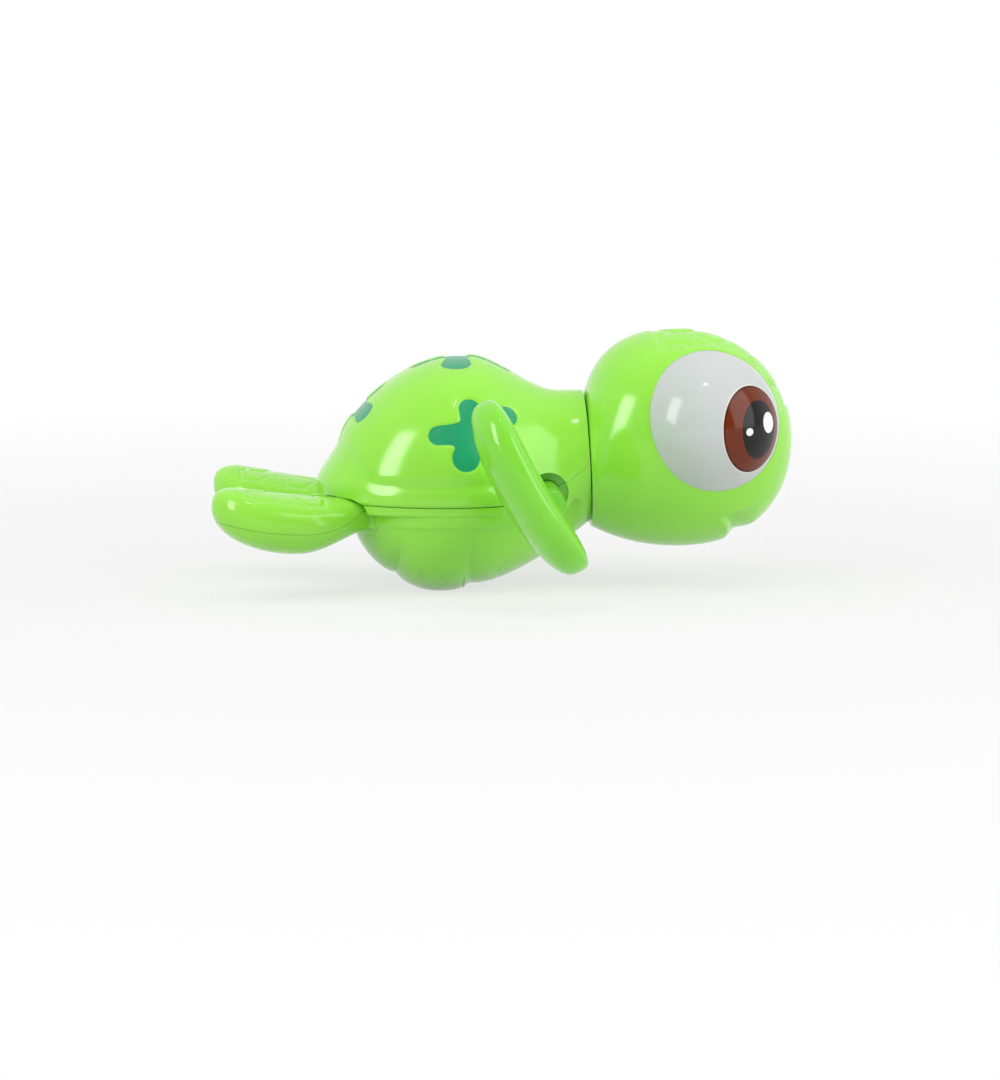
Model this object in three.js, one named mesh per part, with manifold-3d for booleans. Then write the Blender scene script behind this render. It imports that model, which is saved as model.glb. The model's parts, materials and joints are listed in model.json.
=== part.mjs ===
// Wind-up swimming turtle for the bath: two body shells around a spring clockwork, front flippers on its
// cross axle, rear flippers on upright pins and a round head that turns on a spool-shaped bush.
// Millimetres: +X to the nose, +Y to the toy's left, +Z up, with the origin in the middle of the belly flat.

import * as THREE from "three";
import { mergeVertices } from "three/addons/utils/BufferGeometryUtils.js";
import Module from "manifold-3d";

const wasm = await Module();
wasm.setup();

const { lerp, smoothstep, degToRad } = THREE.MathUtils;

// Fits: the gap between seated pieces, the radial gap round a turning pin, and the mould walls
const PART_GAP = 0.3;
const RUN_GAP = 0.2;
const SHELL_WALL = 2;
const FIN_WALL = 1.6;

// Body shells
const BODY_HALF_WIDTH = 26.3;
const BODY_REAR_X = -30.6;
const WIDEST_X = -1;
const CROWN_Z = 51.3;
const DOME_POWER = 1.7;
const SEAM_Z = 20.2;
const SEAM_RISE_X = 10;
const SHOULDER_X = 3;
const NAPE_X = 23;
const BELLY_REAR_X = -23.7;
const BELLY_LOW_X = -2;
const BELLY_FLAT_DEPTH = 1.1;
const BELLY_POWER = 2.2;
const CHEST_X = 2.5;
const CHEST_STEP = 0.6;
const CHEST_LOW = 0.4;
const CHEST_POWER = 1.6;
const RIM_HEIGHT = 2;
const RIM_EDGE = 0.35;
const RIM_INSET = 0.9;
const GROOVE_XS = [-13.3, 2.5];
const GROOVE_WIDTH = 1.1;
const GROOVE_DEPTH = 1.2;

// Neck and its bush
const NECK_X = 29;
const NECK_Z = 28.6;
const NECK_RADIUS = 14.8;
const NECK_TILT = degToRad(3);
const NECK_WALL = 2;
const NECK_GAP = 0.7;
const BUSH_RADIUS = 8;
const BUSH_FLANGE = 2.5;
const BUSH_FLANGE_WIDTH = 1.5;
const BUSH_BORE = 5;

// Head, measured from the neck centre along the tilted neck axis
const HEAD_X = 21.4;
const HEAD_Z = 3.2;
const HEAD_HALF_HEIGHT = 24.2;
const HEAD_HALF_WIDTH = 22.5;
const HEAD_FRONT = 24.5;
const SKULL_BACK = 22;
const SKULL_POWER = 2.6;
const CHEEK_BACK = 27;
const CHEEK_POWER = 2.2;
const JAW_BACK = 33;
const CHIN_POWER = 2.2;
const HEAD_REAR_WALL = 2.4;
const MOUTH_X = 33.5;
const MOUTH_CORNER_X = 30.4;
const MOUTH_HALF_WIDTH = 14.6;
const MOUTH_BEND = 4;
const MOUTH_RADIUS = 1.6;

// Eyes
const EYE_X = 25.6;
const EYE_Y = 10.4;
const EYE_Z = 6.6;
const EYE_RADIUS = 16.4;
const EYE_WALL = 1.8;
const EYE_ARC = degToRad(84);
const EYE_YAW = degToRad(23.5);
const EYE_LIFT = degToRad(16.5);

// Cross axle, shoulder cups and seals
const AXLE_X = 19.6;
const AXLE_RADIUS = 1.5;
const CUP_RADIUS = 4.6;
const CUP_WALL = 1.5;
const CUP_DEPTH = 5.5;
const SEAL_WIDTH = 1.2;
const SEAL_RADIUS = 3.2;

// Front flippers
const PADDLE_CLEAR = 2.8;
const PADDLE_SPAN = 27;
const PADDLE_LEAD = 14.9;
const PADDLE_TRAIL = 29;
const PADDLE_RAKE = 0.1;
const PADDLE_SPAN_POWER = 2.2;
const PADDLE_HALF_THICKNESS = 5.45;
const PADDLE_POWER = 2.6;
const PADDLE_SET_BACK = 2;
const PADDLE_BELLY = 1.45;
const PADDLE_PITCH = degToRad(59);
const PADDLE_STATIONS = 14;
const PADDLE_AROUND = 14;
const BOSS_RADIUS = 2.6;
const BOSS_GRIP = 8;
const AXLE_GRIP = 5;

// Flippers' sections: 1 for an ellipse, less for fuller shoulders
const FLIPPER_FULLNESS = 0.85;

// Rear flippers, along their own length from the pivot
const FIN_PIVOT_X = -18;
const FIN_PIVOT_Y = 12.6;
const FIN_SPLAY = degToRad(17);
const FIN_SWING = degToRad(12);
const FIN_LENGTH = 37.5;
const FIN_ROOT_HALF = 3.9;
const FIN_HALF_WIDTH = 9.5;
const FIN_WIDEST = 24;
const FIN_ROOT_TOP = 20.4;
const FIN_TIP_TOP = 24.6;
const FIN_TIP_Z = 20.5;
const FIN_TIP_ROUND = 9;
const FIN_ROOT_LOW = 13;
const FIN_LOW = 9.8;
const FIN_LOW_AT = 18;
const FIN_SEAM_Z = 15.2;
const KNUCKLE_RADIUS = 4.1;
const KNUCKLE_LOW = 13.6;
const KNUCKLE_TOP = 21.4;
const TRUNNION_RADIUS = 1.5;
const TRUNNION_LENGTH = 2;
const FIN_CLEAR = 0.5;

// Clockwork: layers across the toy, wheels and frame
const PLATE_INSIDE = 6.6;
const PLATE_THICKNESS = 1.6;
const WHEEL_Y = -5.9;
const WHEEL_WIDTH = 3;
const IDLER_GEAR_Y = -2.4;
const IDLER_GEAR_WIDTH = 2;
const SPRING_Y = 0.6;
const SPRING_WIDTH = 5.4;
const COARSE_MODULE = 0.75;
const FINE_MODULE = 0.5;
const GREAT_TEETH = 40;
const AXLE_TEETH = 12;
const IDLER_PINION_TEETH = 10;
const IDLER_GEAR_TEETH = 32;
const GOVERNOR_TEETH = 9;
const PRESSURE_ANGLE = degToRad(25);
const ADDENDUM = 0.8;
const DEDENDUM = 1.1;
const BACKLASH = 0.16;
const STRAIGHT_TEETH = 30;
const GREAT_BEARING = degToRad(160);
const IDLER_BEARING = degToRad(232);
const GOVERNOR_BEARING = degToRad(-20);
const ARBOR_RADIUS = 2.6;
const JOURNAL_RADIUS = 1.5;
const IDLER_PIN_RADIUS = 1;
const GOVERNOR_PIN_RADIUS = 0.8;
const FLYWHEEL_RADIUS = 5.6;
const FLYWHEEL_WIDTH = 3;
const SPRING_STRIP = 0.5;
const SPRING_TURNS = 5;
const SPRING_RADIUS = 11.8;
const PILLAR_RADIUS = 1.6;
const PILLAR_TENON = 1;
const PLATE_ROUND = 2;
const CRADLE_WIDTH = 5.2;
const CRADLE_LENGTH = 3;
const CRADLE_LIP = 2.8;
const CRADLE_XS = [-3.5, 8];
const HOLD_DOWN_X = 0;

// Shell screws
const SCREW_XS = [-6, 11.5];
const SCREW_INSET = 8.2;
const SCREW_RADIUS = 1.25;
const SCREW_HEAD_RADIUS = 2.3;
const SCREW_HEAD_HEIGHT = 1.6;
const SCREW_SEAT_Z = 12;
const SCREW_LENGTH = 15;
const COLUMN_RADIUS = 3.8;

// Far enough to pass clear through the toy, and the depth by which joined shapes run into each other
const FAR = 90;
const WELD = 0.5;
const MESH_TOLERANCE = 0.02;

// Finishes
const finish = (color, roughness, metalness = 0) => ({ color, roughness, metalness });
const GREEN_PLASTIC = finish(0x82d83a, 0.28);
const WHITE_PLASTIC = finish(0xe6e8e6, 0.2);
const ACETAL = finish(0xf0eee4, 0.45);
const GREY_PLASTIC = finish(0x8d9296, 0.5);
const STEEL = finish(0xb9bcc0, 0.35, 1);
const SPRING_STEEL = finish(0x5b6470, 0.35, 1);
const BRASS = finish(0xc9a24a, 0.35, 1);
const RUBBER = finish(0x2a2a2a, 0.8);

// Solids from geometry

// The signed volume of an indexed geometry, negative where its faces point inwards
function signedVolume(positions, indices) {
  const a = new THREE.Vector3();
  const b = new THREE.Vector3();
  const c = new THREE.Vector3();
  let sum = 0;
  for (let i = 0; i < indices.length; i += 3) {
    a.fromArray(positions, 3 * indices[i]);
    b.fromArray(positions, 3 * indices[i + 1]);
    c.fromArray(positions, 3 * indices[i + 2]);
    sum += a.dot(b.cross(c));
  }
  return sum / 6;
}

// A geometry as a manifold solid with its faces turned outwards
function solid(geometry) {
  const plain = geometry.clone();
  plain.deleteAttribute("normal");
  plain.deleteAttribute("uv");
  const merged = mergeVertices(plain, 1e-4);
  const source = merged.index.array;
  const triangles = [];
  for (let i = 0; i < source.length; i += 3) {
    const [a, b, c] = [source[i], source[i + 1], source[i + 2]];
    if (a !== b && b !== c && a !== c) triangles.push(a, b, c);
  }
  const positions = merged.attributes.position.array;
  if (signedVolume(positions, triangles) < 0) triangles.reverse();
  const mesh = new wasm.Mesh({
    numProp: 3,
    vertProperties: new Float32Array(positions),
    triVerts: new Uint32Array(triangles),
  });
  return new wasm.Manifold(mesh);
}

// A manifold solid as a geometry with flat-shaded normals
function geometryOf(body) {
  const mesh = body.simplify(MESH_TOLERANCE).getMesh();
  const stride = mesh.numProp;
  const positions = new Float32Array(3 * mesh.numVert);
  for (let i = 0; i < mesh.numVert; i += 1) {
    positions.set(mesh.vertProperties.subarray(i * stride, i * stride + 3), 3 * i);
  }
  const geometry = new THREE.BufferGeometry();
  geometry.setAttribute("position", new THREE.BufferAttribute(positions, 3));
  geometry.setIndex(new THREE.BufferAttribute(new Uint32Array(mesh.triVerts), 1));
  geometry.computeVertexNormals();
  return geometry;
}

// A closed solid through a row of rings with the same number of points, each end closed by a fan
function loft(rings) {
  const count = rings[0].length;
  const positions = rings.flatMap((ring) => ring.flatMap((p) => [p.x, p.y, p.z]));
  const triangles = [];
  for (let i = 0; i + 1 < rings.length; i += 1) {
    for (let j = 0; j < count; j += 1) {
      const a = i * count + j;
      const b = i * count + ((j + 1) % count);
      triangles.push(a, b, b + count, a, b + count, a + count);
    }
  }
  [0, rings.length - 1].forEach((index) => {
    const middle = rings[index].reduce((sum, p) => sum.add(p), new THREE.Vector3()).divideScalar(count);
    const centre = positions.length / 3;
    positions.push(middle.x, middle.y, middle.z);
    for (let j = 0; j < count; j += 1) {
      const a = index * count + j;
      const b = index * count + ((j + 1) % count);
      if (index === 0) triangles.push(centre, b, a);
      else triangles.push(centre, a, b);
    }
  });
  const geometry = new THREE.BufferGeometry();
  geometry.setAttribute("position", new THREE.Float32BufferAttribute(positions, 3));
  geometry.setIndex(triangles);
  return solid(geometry);
}

// A round bar between two points
function rod(radius, from, to, sides = 14) {
  const axis = new THREE.Vector3().subVectors(to, from);
  const geometry = new THREE.CylinderGeometry(radius, radius, axis.length(), sides);
  const upright = new THREE.Vector3(0, 1, 0);
  geometry.applyQuaternion(new THREE.Quaternion().setFromUnitVectors(upright, axis.clone().normalize()));
  const middle = new THREE.Vector3().addVectors(from, to).multiplyScalar(0.5);
  geometry.translate(middle.x, middle.y, middle.z);
  return solid(geometry);
}

// A round bar across the toy, at a place in side view, from one Y to another
function crossRod(radius, place, y0, y1, sides = 14) {
  return rod(radius, new THREE.Vector3(place.x, y0, place.y), new THREE.Vector3(place.x, y1, place.y), sides);
}

// An upright round bar
function post(radius, x, y, z0, z1, sides = 12) {
  return rod(radius, new THREE.Vector3(x, y, z0), new THREE.Vector3(x, y, z1), sides);
}

// A box between two corners
function block(x0, x1, y0, y1, z0, z1) {
  const geometry = new THREE.BoxGeometry(x1 - x0, y1 - y0, z1 - z0);
  geometry.translate((x0 + x1) / 2, (y0 + y1) / 2, (z0 + z1) / 2);
  return solid(geometry);
}

// A flat outline in side view, drawn in X and Z, as a slab from y0 to y1
function slab(shape, y0, y1, curveSegments = 8) {
  const geometry = new THREE.ExtrudeGeometry(shape, { depth: y1 - y0, bevelEnabled: false, curveSegments });
  geometry.rotateX(Math.PI / 2);
  geometry.translate(0, y1, 0);
  return solid(geometry);
}

// A turned piece along Y from [radius, y] pairs that start and end on the axis
function turned(profile, sides = 20) {
  return solid(new THREE.LatheGeometry(profile.map(([r, y]) => new THREE.Vector2(r, y)), sides));
}

const join = (bodies) => bodies.reduce((sum, body) => sum.add(body));
const moved = (body, matrix) => body.transform(matrix.elements);

// How far a rounded end has fallen away: 1 at the middle, 0 at the end
const bulge = (t, power) => (1 - Math.min(1, Math.abs(t)) ** power) ** (1 / power);

// Stations from a to b, closer together towards a
function stations(a, b, count) {
  return Array.from({ length: count + 1 }, (_, i) => lerp(a, b, 1 - Math.cos((i / count) * (Math.PI / 2))));
}

// Body shapes. The inset moves a surface inwards to give the hollow of a shell.

const END_TRIM = 0.06;
const SHELL_STATIONS = 24;
const CAVITY_STATIONS = 13;

// Height of the seam between the shells
function seamZ(x) {
  const t = Math.max(0, (x - SEAM_RISE_X) / (NECK_X - SEAM_RISE_X));
  return SEAM_Z + (NECK_Z - SEAM_Z) * t * t;
}

// Half width of the upper shell at its rim
function shellHalfWidth(x, inset = 0) {
  if (x < WIDEST_X) {
    return (BODY_HALF_WIDTH - inset) * bulge((x - WIDEST_X) / (WIDEST_X - BODY_REAR_X - inset), 2);
  }
  return lerp(BODY_HALF_WIDTH, NECK_RADIUS, smoothstep(x, WIDEST_X, NECK_X)) - inset;
}

// Height of the back along the middle
function backZ(x, inset = 0) {
  if (x < 0) {
    return SEAM_Z + (CROWN_Z - SEAM_Z - inset) * bulge(x / (-BODY_REAR_X - inset), DOME_POWER);
  }
  return lerp(CROWN_Z, NECK_Z + NECK_RADIUS, smoothstep(x, SHOULDER_X, NAPE_X)) - inset;
}

// Half width of the bowl under the rim
function bowlHalfWidth(x, inset = 0) {
  if (x < BELLY_LOW_X) {
    const reach = BELLY_LOW_X - BELLY_REAR_X - inset;
    return (shellHalfWidth(BELLY_LOW_X) - RIM_INSET - inset) * bulge((x - BELLY_LOW_X) / reach, 2);
  }
  return shellHalfWidth(x) - RIM_INSET * (1 - smoothstep(x, SHOULDER_X, NAPE_X)) - inset;
}

// Height of the belly along the middle, before the flat is cut
function bellyZ(x, inset = 0) {
  if (x < BELLY_LOW_X) {
    const reach = BELLY_LOW_X - BELLY_REAR_X - inset;
    return SEAM_Z - (SEAM_Z + BELLY_FLAT_DEPTH - inset) * bulge((x - BELLY_LOW_X) / reach, 2);
  }
  const step = smoothstep(x, CHEST_X - CHEST_STEP, CHEST_X + CHEST_STEP);
  const low = lerp(-BELLY_FLAT_DEPTH, CHEST_LOW, step);
  const t = Math.max(0, (x - CHEST_X) / (NECK_X - CHEST_X));
  return lerp(low, NECK_Z - NECK_RADIUS, t ** CHEST_POWER) + inset;
}

// The dome over the seam, with its flat side at the given lift above the seam
function dome(inset, lift, count, arc) {
  const rings = stations(BODY_REAR_X + inset + END_TRIM, NECK_X + 3, count).map((x) => {
    const base = seamZ(x) + lift;
    return Array.from({ length: arc + 1 }, (_, j) => {
      const turn = (Math.PI * j) / arc;
      const height = Math.max(backZ(x, inset) - base, 0.05);
      return new THREE.Vector3(x, shellHalfWidth(x, inset) * Math.cos(turn), base + height * Math.sin(turn));
    });
  });
  return loft(rings);
}

// The bowl under the seam, with a station at each end of the step in front of the flat
function bowl(inset, lift, count, arc) {
  const step = [CHEST_X - CHEST_STEP, CHEST_X + CHEST_STEP];
  const places = [...stations(BELLY_REAR_X + inset + END_TRIM, NECK_X + 3, count), ...step];
  const rings = places.sort((a, b) => a - b).map((x) => {
    const top = seamZ(x) + lift;
    const power = lerp(BELLY_POWER, 2, smoothstep(x, SHOULDER_X, NAPE_X));
    return Array.from({ length: arc + 1 }, (_, j) => {
      const turn = (Math.PI * j) / arc;
      const across = Math.sign(Math.cos(turn)) * Math.abs(Math.cos(turn)) ** (2 / power);
      const depth = Math.max(top - bellyZ(x, inset), 0.05);
      const down = Math.max(0, Math.sin(turn)) ** (2 / power);
      return new THREE.Vector3(x, bowlHalfWidth(x, inset) * across, top - depth * down);
    });
  });
  return loft(rings);
}

// The band along the top of the lower shell, which also closes the overhang at the rear
function rimBand() {
  const rings = stations(BODY_REAR_X + RIM_EDGE + END_TRIM, NECK_X, SHELL_STATIONS).map((x) => {
    const half = shellHalfWidth(x, RIM_EDGE);
    const top = seamZ(x) - PART_GAP / 2;
    return [
      new THREE.Vector3(x, half, top),
      new THREE.Vector3(x, -half, top),
      new THREE.Vector3(x, -half, top - RIM_HEIGHT),
      new THREE.Vector3(x, half, top - RIM_HEIGHT),
    ];
  });
  return loft(rings);
}

// The tilted frame of the neck, its X axis along the neck
const neckFrame = new THREE.Matrix4().makeRotationY(-NECK_TILT).setPosition(NECK_X, 0, NECK_Z);
const behindNeck = (reach) => moved(block(-2 * FAR, reach, -FAR, FAR, -FAR, FAR), neckFrame);
const neckBore = moved(
  rod(BUSH_RADIUS + PART_GAP, new THREE.Vector3(-FAR / 9, 0, 0), new THREE.Vector3(FAR / 9, 0, 0), 22),
  neckFrame,
);

const upperOuter = dome(0, PART_GAP / 2, SHELL_STATIONS, 22).intersect(behindNeck(0));
const upperHollow = dome(SHELL_WALL, -2, CAVITY_STATIONS, 12).intersect(behindNeck(-NECK_WALL));
const aboveTable = block(-FAR, FAR, -FAR, FAR, 0, FAR);
const lowerOuter = bowl(0, -PART_GAP / 2, SHELL_STATIONS, 18)
  .add(rimBand())
  .intersect(behindNeck(0))
  .intersect(aboveTable);
const lowerHollow = bowl(SHELL_WALL, 2, CAVITY_STATIONS, 12).intersect(behindNeck(-NECK_WALL));
const upperCore = dome(SHELL_WALL / 2, PART_GAP, CAVITY_STATIONS, 10).intersect(behindNeck(-NECK_WALL / 2));
const lowerCore = bowl(SHELL_WALL / 2, -PART_GAP, CAVITY_STATIONS, 10).intersect(behindNeck(-NECK_WALL / 2));
const flatHollow = lowerHollow.intersect(block(-FAR, FAR, -FAR, FAR, SHELL_WALL, FAR));

// Cross axle
const AXLE_Z = seamZ(AXLE_X);
const axlePlace = new THREE.Vector2(AXLE_X, AXLE_Z);
const shoulderY = shellHalfWidth(AXLE_X);
const cupFloorY = shoulderY - CUP_DEPTH;
const paddleInnerY = BODY_HALF_WIDTH + PADDLE_CLEAR;
const SIDES = [1, -1];
const sideName = (side) => (side > 0 ? "left" : "right");

const cupBlanks = join(SIDES.map((side) => {
  return crossRod(CUP_RADIUS + CUP_WALL, axlePlace, side * (cupFloorY - CUP_WALL), side * FAR, 20);
}));
const cupBores = join(SIDES.map((side) => crossRod(CUP_RADIUS, axlePlace, side * cupFloorY, side * FAR, 20)));
const axleBore = crossRod(AXLE_RADIUS + RUN_GAP, axlePlace, -FAR, FAR);

// Rear flippers in their own frame: X from the pivot to the tip, Z as in the toy

// The cosine and sine of a turn, drawn out into the fuller shoulders of the flippers' sections
function roundedPair(turn) {
  const fuller = (share) => Math.sign(share) * Math.abs(share) ** FLIPPER_FULLNESS;
  return [fuller(Math.cos(turn)), fuller(Math.sin(turn))];
}

// Half width of the flipper, seen from above
function finHalfWidth(u, grow = 0) {
  if (u < FIN_WIDEST) {
    return lerp(FIN_ROOT_HALF, FIN_HALF_WIDTH, smoothstep(u, KNUCKLE_RADIUS, FIN_WIDEST)) + grow;
  }
  return (FIN_HALF_WIDTH + grow) * bulge((u - FIN_WIDEST) / (FIN_LENGTH + grow - FIN_WIDEST), 2);
}

// Height of its upper face along the middle
function finTop(u, grow = 0) {
  const start = FIN_LENGTH - FIN_TIP_ROUND;
  const line = lerp(FIN_ROOT_TOP, FIN_TIP_TOP, u / start) + grow;
  if (u < start) return line;
  return FIN_TIP_Z + (FIN_TIP_TOP + grow - FIN_TIP_Z) * bulge((u - start) / (FIN_TIP_ROUND + grow), 2);
}

// Height of its lower face along the middle
function finLow(u, grow = 0) {
  if (u < FIN_LOW_AT) return lerp(FIN_ROOT_LOW, FIN_LOW, smoothstep(u, 0, FIN_LOW_AT)) - grow;
  const share = (u - FIN_LOW_AT) / (FIN_LENGTH + grow - FIN_LOW_AT);
  return FIN_TIP_Z - (FIN_TIP_Z - FIN_LOW + grow) * bulge(share, 2);
}

// The flipper from one distance along it to another, grown outwards or, with a minus sign, shrunk
function finBody(from, to, grow, count, around) {
  const rings = Array.from({ length: count + 1 }, (_, i) => {
    const u = lerp(from, to, Math.sin((i / count) * (Math.PI / 2)));
    const middle = (finTop(u, grow) + finLow(u, grow)) / 2;
    const half = Math.max((finTop(u, grow) - finLow(u, grow)) / 2, 0.04);
    const width = Math.max(finHalfWidth(u, grow), 0.04);
    return Array.from({ length: around }, (_, j) => {
      const [across, up] = roundedPair((2 * Math.PI * j) / around);
      return new THREE.Vector3(u, width * across, middle + half * up);
    });
  });
  return loft(rings);
}

const finWhole = join([
  finBody(0, FIN_LENGTH - END_TRIM, 0, 12, 14),
  post(KNUCKLE_RADIUS, 0, 0, KNUCKLE_LOW, KNUCKLE_TOP),
  post(TRUNNION_RADIUS, 0, 0, KNUCKLE_LOW - TRUNNION_LENGTH, KNUCKLE_TOP + TRUNNION_LENGTH),
]);
const finHollow = finBody(KNUCKLE_RADIUS + FIN_WALL, FIN_LENGTH - FIN_WALL - END_TRIM, -FIN_WALL, 6, 10);
const finShell = finWhole.subtract(finHollow);
const finTopHalf = finShell.intersect(block(-FAR, FAR, -FAR, FAR, FIN_SEAM_Z + PART_GAP / 2, FAR));
const finBaseHalf = finShell.intersect(block(-FAR, FAR, -FAR, FAR, -FAR, FIN_SEAM_Z - PART_GAP / 2));

// Where a rear flipper sits, with its swing away from rest
function finFrame(side, swing = 0) {
  return new THREE.Matrix4()
    .makeRotationZ(Math.PI - side * (FIN_SPLAY + swing))
    .setPosition(FIN_PIVOT_X, side * FIN_PIVOT_Y, 0);
}

// The room a rear flipper sweeps through at its root
const finSweep = finBody(0, FIN_WIDEST, FIN_CLEAR, 4, 10).add(
  post(KNUCKLE_RADIUS + FIN_CLEAR, 0, 0, KNUCKLE_LOW - FIN_CLEAR, KNUCKLE_TOP + FIN_CLEAR),
);
const swings = [-FIN_SWING, FIN_SWING];
const finRoom = join(SIDES.flatMap((side) => swings.map((swing) => moved(finSweep, finFrame(side, swing)))));

const finPosts = (radius, z0, z1) => join(SIDES.map((side) => {
  return post(radius, FIN_PIVOT_X, side * FIN_PIVOT_Y, z0, z1);
}));
const trunnionHole = TRUNNION_RADIUS + RUN_GAP;
const trunnionBoss = TRUNNION_RADIUS + RUN_GAP + CUP_WALL;
const lowSocketZ = KNUCKLE_LOW - FIN_CLEAR;
const highSocketZ = KNUCKLE_TOP + FIN_CLEAR;

// Clockwork places in side view, as X and Z
const meshDistance = (module, a, b) => (module * (a + b)) / 2;
const along = (start, bearing, distance) => {
  return new THREE.Vector2(start.x + distance * Math.cos(bearing), start.y + distance * Math.sin(bearing));
};
const greatReach = meshDistance(COARSE_MODULE, GREAT_TEETH, AXLE_TEETH);
const idlerReach = meshDistance(COARSE_MODULE, GREAT_TEETH, IDLER_PINION_TEETH);
const governorReach = meshDistance(FINE_MODULE, IDLER_GEAR_TEETH, GOVERNOR_TEETH);
const greatPlace = along(axlePlace, GREAT_BEARING, greatReach);
const idlerPlace = along(greatPlace, IDLER_BEARING, idlerReach);
const governorPlace = along(idlerPlace, GOVERNOR_BEARING, governorReach);
const greatTip = COARSE_MODULE * (GREAT_TEETH / 2 + ADDENDUM);
const pillarReach = greatTip + PILLAR_RADIUS + 4 * PART_GAP;
const pillarPlaces = {
  front: along(greatPlace, degToRad(17), pillarReach),
  rear: along(greatPlace, degToRad(170), pillarReach),
  low: along(greatPlace, degToRad(-58), pillarReach + 5),
};

// A toothed outline with involute flanks, a tooth centred on the turn angle
function gearShape(teeth, module, place, turn) {
  const pitchRadius = (module * teeth) / 2;
  const baseRadius = pitchRadius * Math.cos(PRESSURE_ANGLE);
  const tipRadius = pitchRadius + ADDENDUM * module;
  const rootRadius = pitchRadius - DEDENDUM * module;
  const involute = (angle) => Math.tan(angle) - angle;
  const halfPitchTooth = (Math.PI * module / 2 - BACKLASH) / (2 * pitchRadius);
  const halfTooth = (radius) => {
    const angle = Math.acos(Math.min(1, baseRadius / radius));
    return halfPitchTooth + involute(PRESSURE_ANGLE) - involute(angle);
  };
  const startRadius = Math.max(rootRadius, baseRadius);
  const bendRadius = Math.max(startRadius, pitchRadius - 0.3 * module);
  const flank = [
    [rootRadius, halfTooth(startRadius)],
    [bendRadius, halfTooth(bendRadius)],
    [tipRadius, halfTooth(tipRadius)],
  ].filter((_, i) => i !== 1 || teeth < STRAIGHT_TEETH);
  const points = [];
  for (let i = 0; i < teeth; i += 1) {
    const middle = turn + (2 * Math.PI * i) / teeth;
    flank.forEach(([r, half]) => points.push([r, middle - half]));
    flank.toReversed().forEach(([r, half]) => points.push([r, middle + half]));
  }
  return new THREE.Shape(points.map(([r, a]) => {
    return new THREE.Vector2(place.x + r * Math.cos(a), place.y + r * Math.sin(a));
  }));
}

// The turn that sets a wheel's gap against its neighbour's tooth
function meshTurn(fromPlace, fromTurn, fromTeeth, toPlace, toTeeth) {
  const bearing = Math.atan2(toPlace.y - fromPlace.y, toPlace.x - fromPlace.x);
  const pitch = (2 * Math.PI) / fromTeeth;
  const share = (bearing - fromTurn) / pitch;
  const fraction = share - Math.floor(share);
  return bearing + Math.PI - (0.5 - fraction) * ((2 * Math.PI) / toTeeth);
}

const greatTurn = 0;
const axleTurn = meshTurn(greatPlace, greatTurn, GREAT_TEETH, axlePlace, AXLE_TEETH);
const idlerTurn = meshTurn(greatPlace, greatTurn, GREAT_TEETH, idlerPlace, IDLER_PINION_TEETH);
const governorTurn = meshTurn(idlerPlace, idlerTurn, IDLER_GEAR_TEETH, governorPlace, GOVERNOR_TEETH);

const plateOutside = PLATE_INSIDE + PLATE_THICKNESS;
const plateTopZ = greatPlace.y + greatTip - 1;
const plateLowZ = governorPlace.y - 3;

// The outline of a motor plate, with its corners rounded
function plateShape() {
  const corners = [
    [idlerPlace.x - 8, idlerPlace.y - 1.5],
    [idlerPlace.x - 3.5, plateLowZ],
    [governorPlace.x + 11, plateLowZ],
    [AXLE_X + 3.4, AXLE_Z - 5.4],
    [AXLE_X + 3.4, AXLE_Z + 5],
    [pillarPlaces.front.x + 2, pillarPlaces.front.y + 3.4],
    [greatPlace.x + 8, plateTopZ],
    [greatPlace.x - 7, plateTopZ],
    [pillarPlaces.rear.x - 2.8, pillarPlaces.rear.y + 2],
  ].map(([x, z]) => new THREE.Vector2(x, z));
  const shape = new THREE.Shape();
  corners.forEach((corner, i) => {
    const before = corners[(i + corners.length - 1) % corners.length];
    const after = corners[(i + 1) % corners.length];
    const start = corner.clone().add(before.clone().sub(corner).setLength(PLATE_ROUND));
    const end = corner.clone().add(after.clone().sub(corner).setLength(PLATE_ROUND));
    if (i === 0) shape.moveTo(start.x, start.y);
    else shape.lineTo(start.x, start.y);
    shape.quadraticCurveTo(corner.x, corner.y, end.x, end.y);
  });
  shape.closePath();
  return shape;
}

const plateBores = join([
  crossRod(AXLE_RADIUS + RUN_GAP, axlePlace, -FAR, FAR),
  crossRod(JOURNAL_RADIUS + RUN_GAP, greatPlace, -FAR, FAR),
  crossRod(IDLER_PIN_RADIUS + RUN_GAP, idlerPlace, -FAR, FAR, 12),
  crossRod(GOVERNOR_PIN_RADIUS + RUN_GAP, governorPlace, -FAR, FAR, 12),
  ...Object.values(pillarPlaces).map((place) => crossRod(PILLAR_TENON + RUN_GAP, place, -FAR, FAR, 12)),
]);
const plate = (side) => {
  const [y0, y1] = side > 0 ? [PLATE_INSIDE, plateOutside] : [-plateOutside, -PLATE_INSIDE];
  return slab(plateShape(), y0, y1, 3).subtract(plateBores);
};

// The ring of screw columns
const screwPlaces = SCREW_XS.flatMap((x) => SIDES.map((side) => {
  return [x, side * (shellHalfWidth(x) - SCREW_INSET)];
}));
const columns = (radius, z0, z1) => join(screwPlaces.map(([x, y]) => post(radius, x, y, z0, z1)));

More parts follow.
